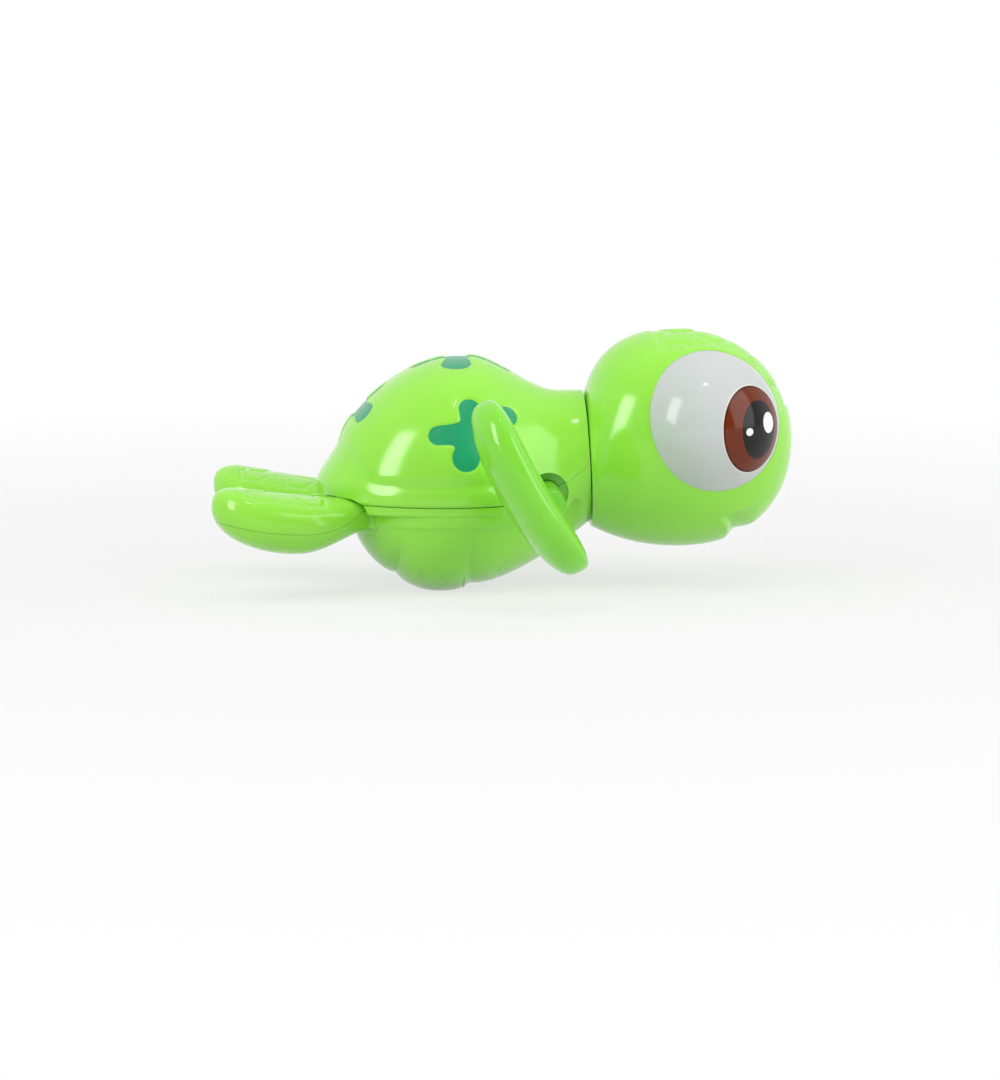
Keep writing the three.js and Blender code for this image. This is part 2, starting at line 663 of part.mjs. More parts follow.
// The cradle blocks that hold the feet of the motor plates, and the pads that press on the plates from above
const plateMiddleY = (PLATE_INSIDE + plateOutside) / 2;
const cradles = join(SIDES.flatMap((side) => CRADLE_XS.map((x) => block(
  x - CRADLE_LENGTH / 2,
  x + CRADLE_LENGTH / 2,
  side * plateMiddleY - CRADLE_WIDTH / 2,
  side * plateMiddleY + CRADLE_WIDTH / 2,
  SHELL_WALL / 2,
  plateLowZ + CRADLE_LIP,
))));
const cradleSlots = join(SIDES.map((side) => block(
  -FAR,
  FAR,
  side * plateMiddleY - PLATE_THICKNESS / 2 - PART_GAP,
  side * plateMiddleY + PLATE_THICKNESS / 2 + PART_GAP,
  plateLowZ - PART_GAP,
  FAR,
)));
const holdDowns = join(SIDES.map((side) => block(
  HOLD_DOWN_X - CRADLE_LENGTH / 2,
  HOLD_DOWN_X + CRADLE_LENGTH / 2,
  side * plateMiddleY - CRADLE_LENGTH / 2,
  side * plateMiddleY + CRADLE_LENGTH / 2,
  plateTopZ + PART_GAP,
  FAR,
)));

const upperFittings = join([
  cupBlanks,
  columns(COLUMN_RADIUS, 0, FAR),
  finPosts(trunnionBoss, highSocketZ, FAR),
  holdDowns,
]).intersect(upperCore);
const upperShell = upperOuter
  .subtract(upperHollow)
  .add(upperFittings)
  .subtract(join([
    cupBores,
    axleBore,
    neckBore,
    finRoom,
    columns(SCREW_RADIUS + RUN_GAP, 0, SCREW_SEAT_Z + SCREW_LENGTH + 1),
    finPosts(trunnionHole, 0, KNUCKLE_TOP + TRUNNION_LENGTH + PART_GAP),
  ]));

const grooves = join(GROOVE_XS.map((x) => block(
  x - GROOVE_WIDTH / 2,
  x + GROOVE_WIDTH / 2,
  -FAR,
  FAR,
  -FAR,
  SEAM_Z - RIM_HEIGHT - PART_GAP,
))).subtract(bowl(GROOVE_DEPTH, 2, CAVITY_STATIONS, 12));
const lowerFittings = join([
  cupBlanks,
  columns(COLUMN_RADIUS, 0, FAR),
  finPosts(trunnionBoss, 0, lowSocketZ),
  cradles.subtract(cradleSlots),
]).intersect(lowerCore);
const lowerShell = lowerOuter
  .subtract(flatHollow)
  .add(lowerFittings)
  .subtract(join([
    cupBores,
    axleBore,
    neckBore,
    finRoom,
    columns(SCREW_RADIUS + RUN_GAP, 0, FAR),
    columns(SCREW_HEAD_RADIUS + RUN_GAP, -FAR, SCREW_SEAT_Z),
    finPosts(trunnionHole, KNUCKLE_LOW - TRUNNION_LENGTH - PART_GAP, FAR),
    grooves,
  ]));

// Head, in the neck frame

// Height over the middle, depth under it and half width of the head at a distance from the neck
function headSection(x, inset = 0) {
  const t = x - HEAD_X;
  const front = HEAD_FRONT - inset;
  const high = t < 0 ? bulge(t / (SKULL_BACK - inset), SKULL_POWER) : bulge(t / front, 2);
  const low = t < 0 ? bulge(t / (JAW_BACK - inset), 2) : bulge(t / front, CHIN_POWER);
  const wide = t < 0 ? bulge(t / (CHEEK_BACK - inset), CHEEK_POWER) : bulge(t / front, 2);
  const top = HEAD_Z + (HEAD_HALF_HEIGHT - inset) * high;
  const bottom = HEAD_Z - (HEAD_HALF_HEIGHT - inset) * low;
  return {
    middle: (top + bottom) / 2,
    half: Math.max((top - bottom) / 2, 0.04),
    width: Math.max((HEAD_HALF_WIDTH - inset) * wide, 0.04),
  };
}

// The head from a distance in front of the neck to the nose
function headBody(from, inset, count, around) {
  const nose = HEAD_X + HEAD_FRONT - inset - END_TRIM;
  const rings = stations(nose, from, count).map((x) => {
    const { middle, half, width } = headSection(x, inset);
    return Array.from({ length: around }, (_, j) => {
      const turn = (2 * Math.PI * j) / around;
      return new THREE.Vector3(x, width * Math.cos(turn), middle + half * Math.sin(turn));
    });
  });
  return loft(rings);
}

// The line of the mouth on the underside of the snout
function mouthLine() {
  return new THREE.CatmullRomCurve3(Array.from({ length: 9 }, (_, i) => {
    const t = i / 4 - 1;
    const x = lerp(MOUTH_X, MOUTH_CORNER_X, t ** MOUTH_BEND);
    const y = t * MOUTH_HALF_WIDTH;
    const { middle, half, width } = headSection(x);
    return new THREE.Vector3(x, y, middle - half * Math.sqrt(1 - (y / width) ** 2));
  }));
}

const mouthRound = new THREE.Shape().absarc(0, 0, MOUTH_RADIUS, 0, 2 * Math.PI);
const mouthGroove = solid(new THREE.ExtrudeGeometry(mouthRound, {
  steps: 14,
  extrudePath: mouthLine(),
  curveSegments: 5,
  bevelEnabled: false,
}));

const eyeCentre = (side) => new THREE.Vector3(EYE_X, side * EYE_Y, EYE_Z);
const eyeAxis = (side) => new THREE.Vector3(
  Math.sin(EYE_YAW) * Math.cos(EYE_LIFT),
  side * Math.cos(EYE_YAW) * Math.cos(EYE_LIFT),
  Math.sin(EYE_LIFT),
);
const eyeSockets = join(SIDES.map((side) => {
  const geometry = new THREE.SphereGeometry(EYE_RADIUS + PART_GAP, 24, 16);
  geometry.rotateX(Math.PI / 2);
  const centre = eyeCentre(side);
  geometry.translate(centre.x, centre.y, centre.z);
  return solid(geometry);
}));
const headShell = headBody(NECK_GAP, 0, 18, 26)
  .subtract(headBody(NECK_GAP + HEAD_REAR_WALL, SHELL_WALL, 10, 14))
  .subtract(rod(BUSH_RADIUS + RUN_GAP, new THREE.Vector3(-FAR, 0, 0), new THREE.Vector3(HEAD_X, 0, 0), 22))
  .subtract(mouthGroove)
  .subtract(eyeSockets);
const headHalf = (side) => {
  const [y0, y1] = side > 0 ? [PART_GAP / 2, FAR] : [-FAR, -PART_GAP / 2];
  const pieces = headShell.intersect(block(-FAR, FAR, y0, y1, -FAR, FAR)).decompose();
  return pieces.reduce((most, piece) => (piece.volume() > most.volume() ? piece : most));
};

// An eye dome about its own Y axis
function eyeDome() {
  const inner = EYE_RADIUS - EYE_WALL;
  const outerArc = Array.from({ length: 8 }, (_, i) => (EYE_ARC * i) / 7);
  const innerArc = Array.from({ length: 5 }, (_, i) => (EYE_ARC * (4 - i)) / 4);
  return turned([
    ...outerArc.map((a) => [EYE_RADIUS * Math.sin(a), EYE_RADIUS * Math.cos(a)]),
    ...innerArc.map((a) => [inner * Math.sin(a), EYE_RADIUS * Math.cos(EYE_ARC) + (inner * Math.cos(a)
      - inner * Math.cos(EYE_ARC))]),
  ], 22);
}

// Neck bush, turned about its own Y axis
const bushBack = -(NECK_WALL + PART_GAP);
const bushFront = NECK_GAP + HEAD_REAR_WALL + PART_GAP;
const neckBush = turned([
  [BUSH_BORE, bushBack - BUSH_FLANGE_WIDTH],
  [BUSH_RADIUS + BUSH_FLANGE, bushBack - BUSH_FLANGE_WIDTH],
  [BUSH_RADIUS + BUSH_FLANGE, bushBack],
  [BUSH_RADIUS, bushBack],
  [BUSH_RADIUS, bushFront],
  [BUSH_RADIUS + BUSH_FLANGE, bushFront],
  [BUSH_RADIUS + BUSH_FLANGE, bushFront + BUSH_FLANGE_WIDTH],
  [BUSH_BORE, bushFront + BUSH_FLANGE_WIDTH],
  [BUSH_BORE, bushBack - BUSH_FLANGE_WIDTH],
], 22);

// Front flipper in the axle's frame: X along the chord, Y out to its side and Z through its thickness.
// Its sections across the chord are rounded, and the face that looks back and down bellies out more.
function paddle(side) {
  const halfChord = (PADDLE_LEAD + PADDLE_TRAIL) / 2;
  const rings = Array.from({ length: PADDLE_STATIONS + 1 }, (_, i) => {
    const t = -Math.cos((Math.PI * i) / PADDLE_STATIONS) * (1 - END_TRIM / halfChord);
    const out = paddleInnerY + PADDLE_SPAN / 2 - PADDLE_RAKE * halfChord * t;
    const middle = -PADDLE_SET_BACK - PADDLE_BELLY * (1 - t * t);
    const halfSpan = (PADDLE_SPAN / 2) * bulge(t, PADDLE_SPAN_POWER);
    const half = PADDLE_HALF_THICKNESS * bulge(t, PADDLE_POWER);
    return Array.from({ length: PADDLE_AROUND }, (_, j) => {
      const [across, up] = roundedPair((2 * Math.PI * j) / PADDLE_AROUND);
      const x = (PADDLE_LEAD - PADDLE_TRAIL) / 2 + halfChord * t;
      return new THREE.Vector3(x, side * (out + halfSpan * across), middle + half * up);
    });
  });
  const origin = new THREE.Vector2(0, 0);
  const bossStart = cupFloorY + SEAL_WIDTH + 2 * PART_GAP;
  return loft(rings)
    .add(crossRod(BOSS_RADIUS, origin, side * bossStart, side * (paddleInnerY + BOSS_GRIP), 16))
    .subtract(crossRod(AXLE_RADIUS + RUN_GAP, origin, 0, side * (paddleInnerY + AXLE_GRIP), 16));
}

const axleEnd = paddleInnerY + AXLE_GRIP - PART_GAP;
const axleSeal = turned([
  [AXLE_RADIUS + RUN_GAP, 0],
  [SEAL_RADIUS, 0],
  [SEAL_RADIUS, SEAL_WIDTH],
  [AXLE_RADIUS + RUN_GAP, SEAL_WIDTH],
  [AXLE_RADIUS + RUN_GAP, 0],
], 18);

// Wheels of the clockwork
const wheelEnd = WHEEL_Y + WHEEL_WIDTH;
const greatWheel = slab(gearShape(GREAT_TEETH, COARSE_MODULE, greatPlace, greatTurn), WHEEL_Y, wheelEnd)
  .subtract(crossRod(JOURNAL_RADIUS + PART_GAP + RUN_GAP, greatPlace, -FAR, FAR))
  .subtract(join([0, 1, 2, 3].map((i) => {
    return crossRod(greatTip / 5, along(greatPlace, (i + 0.5) * (Math.PI / 2), greatTip / 2), -FAR, FAR, 12);
  })));
const axlePinion = slab(gearShape(AXLE_TEETH, COARSE_MODULE, axlePlace, axleTurn), WHEEL_Y, wheelEnd)
  .subtract(crossRod(AXLE_RADIUS + RUN_GAP, axlePlace, -FAR, FAR, 12));
const idlerEnd = IDLER_GEAR_Y + IDLER_GEAR_WIDTH;
const idlerPinion = gearShape(IDLER_PINION_TEETH, COARSE_MODULE, idlerPlace, idlerTurn);
const idlerGear = gearShape(IDLER_GEAR_TEETH, FINE_MODULE, idlerPlace, idlerTurn);
const idlerWheel = slab(idlerPinion, WHEEL_Y, IDLER_GEAR_Y + WELD)
  .add(slab(idlerGear, IDLER_GEAR_Y, idlerEnd))
  .subtract(crossRod(IDLER_PIN_RADIUS + RUN_GAP, idlerPlace, -FAR, FAR, 12));
const flywheelY = idlerEnd + PART_GAP;
const governorPinion = gearShape(GOVERNOR_TEETH, FINE_MODULE, governorPlace, governorTurn);
const governorWheel = slab(governorPinion, IDLER_GEAR_Y, flywheelY + WELD)
  .add(crossRod(FLYWHEEL_RADIUS, governorPlace, flywheelY, flywheelY + FLYWHEEL_WIDTH, 24))
  .subtract(crossRod(GOVERNOR_PIN_RADIUS + RUN_GAP, governorPlace, -FAR, FAR, 12));

// Shafts along Y, each from [radius, y] pairs
const pinEnd = plateOutside - PART_GAP;
const plainPin = (radius) => turned([[0, -pinEnd], [radius, -pinEnd], [radius, pinEnd], [0, pinEnd]], 14);
const springArbor = turned([
  [0, -pinEnd],
  [JOURNAL_RADIUS, -pinEnd],
  [JOURNAL_RADIUS, wheelEnd + PART_GAP],
  [ARBOR_RADIUS, wheelEnd + PART_GAP],
  [ARBOR_RADIUS, PLATE_INSIDE - PART_GAP],
  [JOURNAL_RADIUS, PLATE_INSIDE - PART_GAP],
  [JOURNAL_RADIUS, pinEnd],
  [0, pinEnd],
], 18);
const outputAxle = turned([[0, -axleEnd], [AXLE_RADIUS, -axleEnd], [AXLE_RADIUS, axleEnd], [0, axleEnd]], 16);
const pillar = turned([
  [0, -pinEnd],
  [PILLAR_TENON, -pinEnd],
  [PILLAR_TENON, -PLATE_INSIDE + PART_GAP],
  [PILLAR_RADIUS, -PLATE_INSIDE + PART_GAP],
  [PILLAR_RADIUS, PLATE_INSIDE - PART_GAP],
  [PILLAR_TENON, PLATE_INSIDE - PART_GAP],
  [PILLAR_TENON, pinEnd],
  [0, pinEnd],
], 14);

// The mainspring strip: a spiral round the arbor whose tail hooks round the front pillar
function mainspring() {
  const start = ARBOR_RADIUS + PART_GAP + SPRING_STRIP / 2;
  const bearing = Math.atan2(pillarPlaces.front.y - greatPlace.y, pillarPlaces.front.x - greatPlace.x);
  const steps = SPRING_TURNS * 18;
  const spiral = Array.from({ length: steps + 1 }, (_, i) => {
    const share = i / steps;
    const angle = bearing - 0.9 + 2 * Math.PI * SPRING_TURNS * (share - 1);
    return along(greatPlace, angle, lerp(start, SPRING_RADIUS, share));
  });
  const hookRadius = PILLAR_RADIUS + PART_GAP + SPRING_STRIP / 2;
  const hook = Array.from({ length: 9 }, (_, i) => {
    return along(pillarPlaces.front, bearing - Math.PI / 2 + (i / 8) * Math.PI * 1.25, hookRadius);
  });
  const line = [...spiral, ...hook];
  const normals = line.map((point, i) => {
    const before = line[Math.max(0, i - 1)];
    const after = line[Math.min(line.length - 1, i + 1)];
    return new THREE.Vector2(before.y - after.y, after.x - before.x).setLength(SPRING_STRIP / 2);
  });
  const outline = [
    ...line.map((point, i) => point.clone().add(normals[i])),
    ...line.map((point, i) => point.clone().sub(normals[i])).reverse(),
  ];
  return slab(new THREE.Shape(outline), SPRING_Y, SPRING_Y + SPRING_WIDTH);
}

// A shell screw about its own Y axis, its head at the bottom
const screwFlat = -SCREW_HEAD_HEIGHT - PART_GAP;
const shellScrew = turned([
  [0, screwFlat],
  [SCREW_HEAD_RADIUS, screwFlat],
  [SCREW_HEAD_RADIUS, -PART_GAP],
  [SCREW_RADIUS, -PART_GAP],
  [SCREW_RADIUS, SCREW_LENGTH - SCREW_RADIUS],
  [0, SCREW_LENGTH],
], 14);

// A plug that closes a screw's hole flush with the belly
function screwPlug(x, y) {
  const radius = SCREW_HEAD_RADIUS + RUN_GAP - PART_GAP;
  return post(radius, x, y, -FAR, SCREW_SEAT_Z + screwFlat - PART_GAP, 10).intersect(lowerOuter);
}

// The assembly

const turtle = new THREE.Group();
turtle.name = "wind_up_turtle";

function group(name, parent = turtle) {
  const made = new THREE.Group();
  made.name = name;
  parent.add(made);
  return made;
}

function piece(name, body, look, parent) {
  const mesh = new THREE.Mesh(geometryOf(body), new THREE.MeshStandardMaterial(look));
  mesh.name = name;
  parent.add(mesh);
  return mesh;
}

const bodyGroup = group("body");
piece("upper_shell", upperShell, GREEN_PLASTIC, bodyGroup);
piece("lower_shell", lowerShell, GREEN_PLASTIC, bodyGroup);
screwPlaces.forEach(([x, y], i) => {
  const screw = piece(`shell_screw_${i + 1}`, shellScrew, STEEL, bodyGroup);
  screw.rotation.x = Math.PI / 2;
  screw.position.set(x, y, SCREW_SEAT_Z);
  piece(`screw_plug_${i + 1}`, screwPlug(x, y), GREEN_PLASTIC, bodyGroup);
});

const headGroup = group("head");
headGroup.applyMatrix4(neckFrame);
SIDES.forEach((side) => {
  piece(`head_${sideName(side)}`, headHalf(side), GREEN_PLASTIC, headGroup);
  const eye = piece(`eye_${sideName(side)}`, eyeDome(), WHITE_PLASTIC, headGroup);
  eye.position.copy(eyeCentre(side));
  eye.quaternion.setFromUnitVectors(new THREE.Vector3(0, 1, 0), eyeAxis(side));
});
piece("neck_bush", neckBush, ACETAL, headGroup).rotation.z = -Math.PI / 2;

SIDES.forEach((side) => {
  const fin = group(`rear_flipper_${sideName(side)}`);
  fin.applyMatrix4(finFrame(side));
  piece(`rear_flipper_${sideName(side)}_top`, finTopHalf, GREEN_PLASTIC, fin);
  piece(`rear_flipper_${sideName(side)}_base`, finBaseHalf, GREEN_PLASTIC, fin);
});

const drive = group("drive");
drive.position.set(AXLE_X, 0, AXLE_Z);
piece("output_axle", outputAxle, STEEL, drive);
SIDES.forEach((side) => {
  piece(`front_flipper_${sideName(side)}`, paddle(side), GREEN_PLASTIC, drive).rotation.y = PADDLE_PITCH;
  const seal = piece(`axle_seal_${sideName(side)}`, axleSeal, RUBBER, drive);
  seal.position.y = side > 0 ? cupFloorY + PART_GAP : -cupFloorY - PART_GAP - SEAL_WIDTH;
});

const motor = group("motor");
SIDES.forEach((side) => piece(`motor_plate_${sideName(side)}`, plate(side), GREY_PLASTIC, motor));
Object.entries(pillarPlaces).forEach(([name, place]) => {
  piece(`motor_pillar_${name}`, pillar, STEEL, motor).position.set(place.x, 0, place.y);
});
piece("axle_pinion", axlePinion, BRASS, motor);
piece("great_wheel", greatWheel, ACETAL, motor);
piece("spring_arbor", springArbor, STEEL, motor).position.set(greatPlace.x, 0, greatPlace.y);
piece("mainspring", mainspring(), SPRING_STEEL, motor);
piece("idler_wheel", idlerWheel, ACETAL, motor);
piece("idler_pin", plainPin(IDLER_PIN_RADIUS), STEEL, motor).position.set(idlerPlace.x, 0, idlerPlace.y);
piece("governor_wheel", governorWheel, BRASS, motor);
const governorPin = piece("governor_pin", plainPin(GOVERNOR_PIN_RADIUS), STEEL, motor);
governorPin.position.set(governorPlace.x, 0, governorPlace.y);

export default turtle;
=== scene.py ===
"""Looks of the wind-up swimming turtle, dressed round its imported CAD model.

Every shape is a numpy surface in millimetres, in the frame's axes: +X to the nose, +Y to the toy's left and
+Z up, from the middle of the belly flat. A shape becomes metres when it is made into a piece.
"""

import json
import logging
import math
from dataclasses import dataclass, field
from enum import Enum

import bmesh
import bpy
import numpy as np
from mathutils import Matrix, Vector
from numpy.typing import NDArray


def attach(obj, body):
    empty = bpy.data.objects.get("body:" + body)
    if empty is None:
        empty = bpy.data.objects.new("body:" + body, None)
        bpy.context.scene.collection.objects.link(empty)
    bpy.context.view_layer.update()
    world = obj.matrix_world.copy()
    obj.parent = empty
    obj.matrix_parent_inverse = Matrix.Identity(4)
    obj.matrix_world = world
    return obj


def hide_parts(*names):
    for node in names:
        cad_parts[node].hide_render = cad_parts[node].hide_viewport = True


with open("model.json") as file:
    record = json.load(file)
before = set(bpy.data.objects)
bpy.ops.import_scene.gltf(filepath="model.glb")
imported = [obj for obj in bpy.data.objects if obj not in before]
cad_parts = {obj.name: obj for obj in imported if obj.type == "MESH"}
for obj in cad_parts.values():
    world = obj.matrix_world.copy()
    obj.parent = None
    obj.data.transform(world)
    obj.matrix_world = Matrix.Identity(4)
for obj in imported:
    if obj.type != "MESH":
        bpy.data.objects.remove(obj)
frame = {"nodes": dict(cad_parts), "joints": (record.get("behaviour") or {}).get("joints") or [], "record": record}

Grid = NDArray[np.float64]
Material = bpy.types.Material
Socket = bpy.types.NodeSocket
Tree = bpy.types.NodeTree
Span = tuple[float, float]
MM = 0.001
# Further than any piece reaches, for blocks and bars that cut right through
FAR = 120.0
# Smallest half size of a ring, which keeps the ends of a loft from closing to a point
SLIVER = 0.01
# Keeps a division from meeting 0
TINY = 1e-9
UNIT = (0.0, 1.0)
# The part of a noise pattern's range that holds nearly all of its values
NOISE_BAND = (0.3, 0.7)
LOG = logging.getLogger("turtle")


class Side(Enum):
    """The toy's two sides, as the sign of Y."""

    LEFT = 1
    RIGHT = -1

    @property
    def label(self) -> str:
        """The side's name as node names spell it."""
        return self.name.lower()


class Reach(Enum):
    """Which of a lamp's light counts: all of it, only its soft light, or only its mirror image."""

    ALL = "all"
    SOFT = "soft"
    MIRROR = "mirror"


class Cut(Enum):
    """What one solid does to another."""

    JOIN = "UNION"
    REMOVE = "DIFFERENCE"
    KEEP = "INTERSECT"


def bulge(t: Grid, power: float) -> Grid:
    """A rounded end, (1 - |t|^power)^(1/power): 1 at t = 0, 0 at t = 1, and squarer with more power."""
    return (1.0 - np.minimum(1.0, np.abs(t)) ** power) ** (1.0 / power)


def ease(x: Grid, start: float, end: float) -> Grid:
    """A smooth step, 3t^2 - 2t^3, from 0 at start to 1 at end."""
    t = np.clip((x - start) / (end - start), 0.0, 1.0)
    return t * t * (3.0 - 2.0 * t)


def mix(a: Grid | float, b: Grid | float, share: Grid | float) -> Grid:
    """A straight blend from a to b, a + (b - a) * share."""
    return a + (b - a) * share


def crowded(start: float, end: float, count: int) -> Grid:
    """Stations from start to end in count steps on a quarter cosine, closest together at start."""
    return mix(start, end, 1.0 - np.cos(np.linspace(0.0, np.pi / 2.0, count + 1)))


def bell(x: Grid, middle: Grid | float, spread: Grid | float) -> Grid:
    """A bell curve, exp(-((x - middle) / spread)^2)."""
    return np.exp(-(((x - middle) / spread) ** 2))


def rounded_pair(turn: Grid, power: Grid | float) -> tuple[Grid, Grid]:
    """A superellipse's shares across and up: a turn's cosine and sine to a power, with their signs kept."""
    across, up = np.cos(turn), np.sin(turn)
    return np.sign(across) * np.abs(across) ** power, np.sign(up) * np.abs(up) ** power


def full_turn(count: int) -> Grid:
    """Angles round a full circle in equal steps."""
    return np.linspace(0.0, 2.0 * np.pi, count, endpoint=False)


def points_at(x: Grid, y: Grid, z: Grid) -> Grid:
    """Points from their three coordinates, each spread over the whole grid."""
    return np.stack(np.broadcast_arrays(x, y, z), axis=-1)


def swollen(rings: Grid, offset: Grid, closed: bool) -> Grid:
    """Rings with every point moved along its normal, the cross product of the grid's two slopes.

    Args:
        rings: Points as (stations, around, 3).
        offset: Millimetres outwards for each point, as (stations, around).
        closed: True where a ring runs on from its last point to its first.

    Returns:
        The moved points.
    """
    along = np.gradient(rings, axis=0)
    if closed:
        around = np.roll(rings, -1, axis=1) - np.roll(rings, 1, axis=1)
    else:
        around = np.gradient(rings, axis=1)
    normal = np.cross(along, around)
    normal /= np.maximum(np.linalg.norm(normal, axis=2, keepdims=True), TINY)
    outwards = rings - rings.mean(axis=1, keepdims=True)
    sense = np.sign(np.sum(normal * outwards, axis=(1, 2), keepdims=True))
    return rings + normal * sense * offset[..., None]


def put_in_scene(name: str, data: bpy.types.ID) -> bpy.types.Object:
    """A new object of the scene.

    Args:
        name: What it is called.
        data: Its mesh, lamp or camera.

    Returns:
        The object.
    """
    made = bpy.data.objects.new(name, data)
    bpy.context.scene.collection.objects.link(made)
    return made


class Solid:
    """A closed surface in millimetres that can be joined to others, cut by them or kept inside them."""

    def __init__(self, mesh: bpy.types.Mesh) -> None:
        """Holds a closed mesh."""
        self.mesh = mesh

    @classmethod
    def lofted(cls, rings: Grid) -> "Solid":
        """A skin through a row of closed rings, with a flat face over each end.

        Args:
            rings: Points as (stations, around, 3).

        Returns:
            The solid, with its faces turned outwards.
        """
        rows, count, _ = rings.shape
        index = np.arange(rows * count).reshape(rows, count)
        near, far = index[:-1], index[1:]
        quads = np.stack([near, np.roll(near, -1, axis=1), np.roll(far, -1, axis=1), far], axis=-1)
        faces = [*quads.reshape(-1, 4).tolist(), index[0, ::-1].tolist(), index[-1].tolist()]
        mesh = bpy.data.meshes.new("solid")
        mesh.from_pydata(rings.reshape(-1, 3), [], faces)
        shape = bmesh.new()
        shape.from_mesh(mesh)
        inside_out = shape.calc_volume(signed=True) < 0.0
        shape.free()
        if inside_out:
            mesh.flip_normals()
        return cls(mesh)

    @classmethod
    def rod(cls, start: Grid, end: Grid, radius: float, sides: int = 72) -> "Solid":
        """A round bar: the same circle at both ends of its axis.

        Args:
            start: Middle of one end.
            end: Middle of the other end.
            radius: Radius of the bar.
            sides: Points round it.

        Returns:
            The solid.
        """
        ends = np.array([start, end], float)
        axis = (ends[1] - ends[0]) / np.linalg.norm(ends[1] - ends[0])
        first = np.cross(axis, np.eye(3)[np.argmin(np.abs(axis))])
        first /= np.linalg.norm(first)
        second = np.cross(axis, first)
        turn = full_turn(sides)[:, None]
        circle = radius * (np.cos(turn) * first + np.sin(turn) * second)
        return cls.lofted(ends[:, None, :] + circle[None])

    @classmethod
    def block(cls, low: tuple[float, ...], high: tuple[float, ...]) -> "Solid":
        """A box between two corners.

        Args:
            low: The corner with the lowest X, Y and Z.
            high: The corner with the highest.

        Returns:
            The solid.
        """
        (x0, y0, z0), (x1, y1, z1) = low, high
        ring = np.array([[y0, z0], [y1, z0], [y1, z1], [y0, z1]])
        rings = np.stack([np.insert(ring, 0, x, axis=1) for x in (x0, x1)])
        return cls.lofted(rings)

    @classmethod
    def ball(cls, centre: Grid, radius: float, count: int = 120) -> "Solid":
        """A sphere of rings round X, from pole to pole.

        Args:
            centre: Its middle.
            radius: Its radius.
            count: Rings from pole to pole, with twice as many points round each.

        Returns:
            The solid.
        """
        pole = 0.004
        polar = np.linspace(pole, np.pi - pole, count)[:, None]
        turn = full_turn(2 * count)[None]
        rings = points_at(np.cos(polar), np.sin(polar) * np.cos(turn), np.sin(polar) * np.sin(turn))
        return cls.lofted(centre + radius * rings)

    def moved(self, matrix: Matrix) -> "Solid":
        """A copy of the solid, placed by a matrix.

        Args:
            matrix: Where it goes, in millimetres.

        Returns:
            The copy.
        """
        copy = self.mesh.copy()
        copy.transform(matrix)
        return Solid(copy)

    def changed(self, cut: Cut, *others: "Solid") -> "Solid":
        """The solid after each of the others has been joined to it, removed from it or laid over it.

        Args:
            cut: What the others do.
            others: The solids to use, one after another.

        Returns:
            A new solid.
        """
        mesh = self.mesh
        for other in others:
            base, tool = put_in_scene("base", mesh), put_in_scene("tool", other.mesh)
            change = base.modifiers.new("change", "BOOLEAN")
            change.solver = "MANIFOLD"
            change.operation = cut.value
            change.object = tool
            bpy.context.view_layer.update()
            made = base.evaluated_get(bpy.context.evaluated_depsgraph_get())
            mesh = bpy.data.meshes.new_from_object(made)
            for item in (base, tool):
                bpy.data.objects.remove(item)
        return Solid(mesh)

    def points(self) -> Grid:
        """The places of the solid's points.

        Returns:
            Points as (count, 3).
        """
        flat = np.empty(3 * len(self.mesh.vertices), np.float32)
        self.mesh.vertices.foreach_get("co", flat)
        return flat.reshape(-1, 3).astype(float)

    def note(self, name: str, values: Grid) -> None:
        """Stores one number for each point, for a material to read."""
        self.mesh.attributes.new(name, "FLOAT", "POINT").data.foreach_set("value", values.astype(np.float32))


@dataclass(frozen=True)
class Place:
    """What a finished shape is called, what it moves with and which CAD nodes it stands for."""

    name: str
    body: str
    slot: str
    nodes: tuple[str, ...]
    sharp_deg: float = 50.0

    def show(self, solid: Solid, material: Material) -> bpy.types.Object:
        """Makes a solid into a piece of the object.

        Args:
            solid: Shape in millimetres, in the toy's frame.
            material: Its finish.

        Returns:
            The piece, riding on its body.
        """
        mesh = solid.mesh
        mesh.transform(Matrix.Scale(MM, 4))
        mesh.name = self.name
        mesh.materials.clear()
        mesh.materials.append(material)
        mesh.shade_smooth()
        mesh.set_sharp_from_angle(angle=math.radians(self.sharp_deg))
        piece = put_in_scene(self.name, mesh)
        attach(piece, self.body)
        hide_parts(*self.nodes)
        LOG.info("%s: %d faces on %s", self.name, len(mesh.polygons), self.body)
        return piece


def joint(name: str) -> dict:
    """A joint of the frame, by its name."""
    return next(found for found in frame["joints"] if found["name"] == name)


def joint_point(name: str) -> Grid:
    """A joint's place in millimetres."""
    return np.array(joint(name)["pos_m"], float) / MM


def joint_axis(name: str) -> Grid:
    """A joint's axis as a unit vector."""
    axis = np.array(joint(name)["axis"], float)
    return axis / np.linalg.norm(axis)


def linear(colour: str) -> tuple[float, float, float, float]:
    """An sRGB colour as linear light: a straight line for the darkest shades and a power curve above it.

    Args:
        colour: The colour as a hash sign and six hex digits.

    Returns:
        Red, green, blue and an alpha of 1.
    """
    parts = [int(colour[i : i + 2], 16) / 255.0 for i in (1, 3, 5)]
    made = [part / 12.92 if part <= 0.04045 else ((part + 0.055) / 1.055) ** 2.4 for part in parts]
    return (*made, 1.0)


def add_node(tree: Tree, kind: str, inputs: dict | None = None, **settings: object) -> bpy.types.Node:
    """Adds a node, sets it and links it.

    Args:
        tree: Node tree that gets it.
        kind: The node's type.
        inputs: A value or another node's output for each named input.
        settings: The node's own properties.

    Returns:
        The node.
    """
    made = tree.nodes.new(kind)
    for name, value in settings.items():
        setattr(made, name, value)
    for name, value in (inputs or {}).items():
        if isinstance(value, Socket):
            tree.links.new(value, made.inputs[name])
        else:
            made.inputs[name].default_value = value
    return made


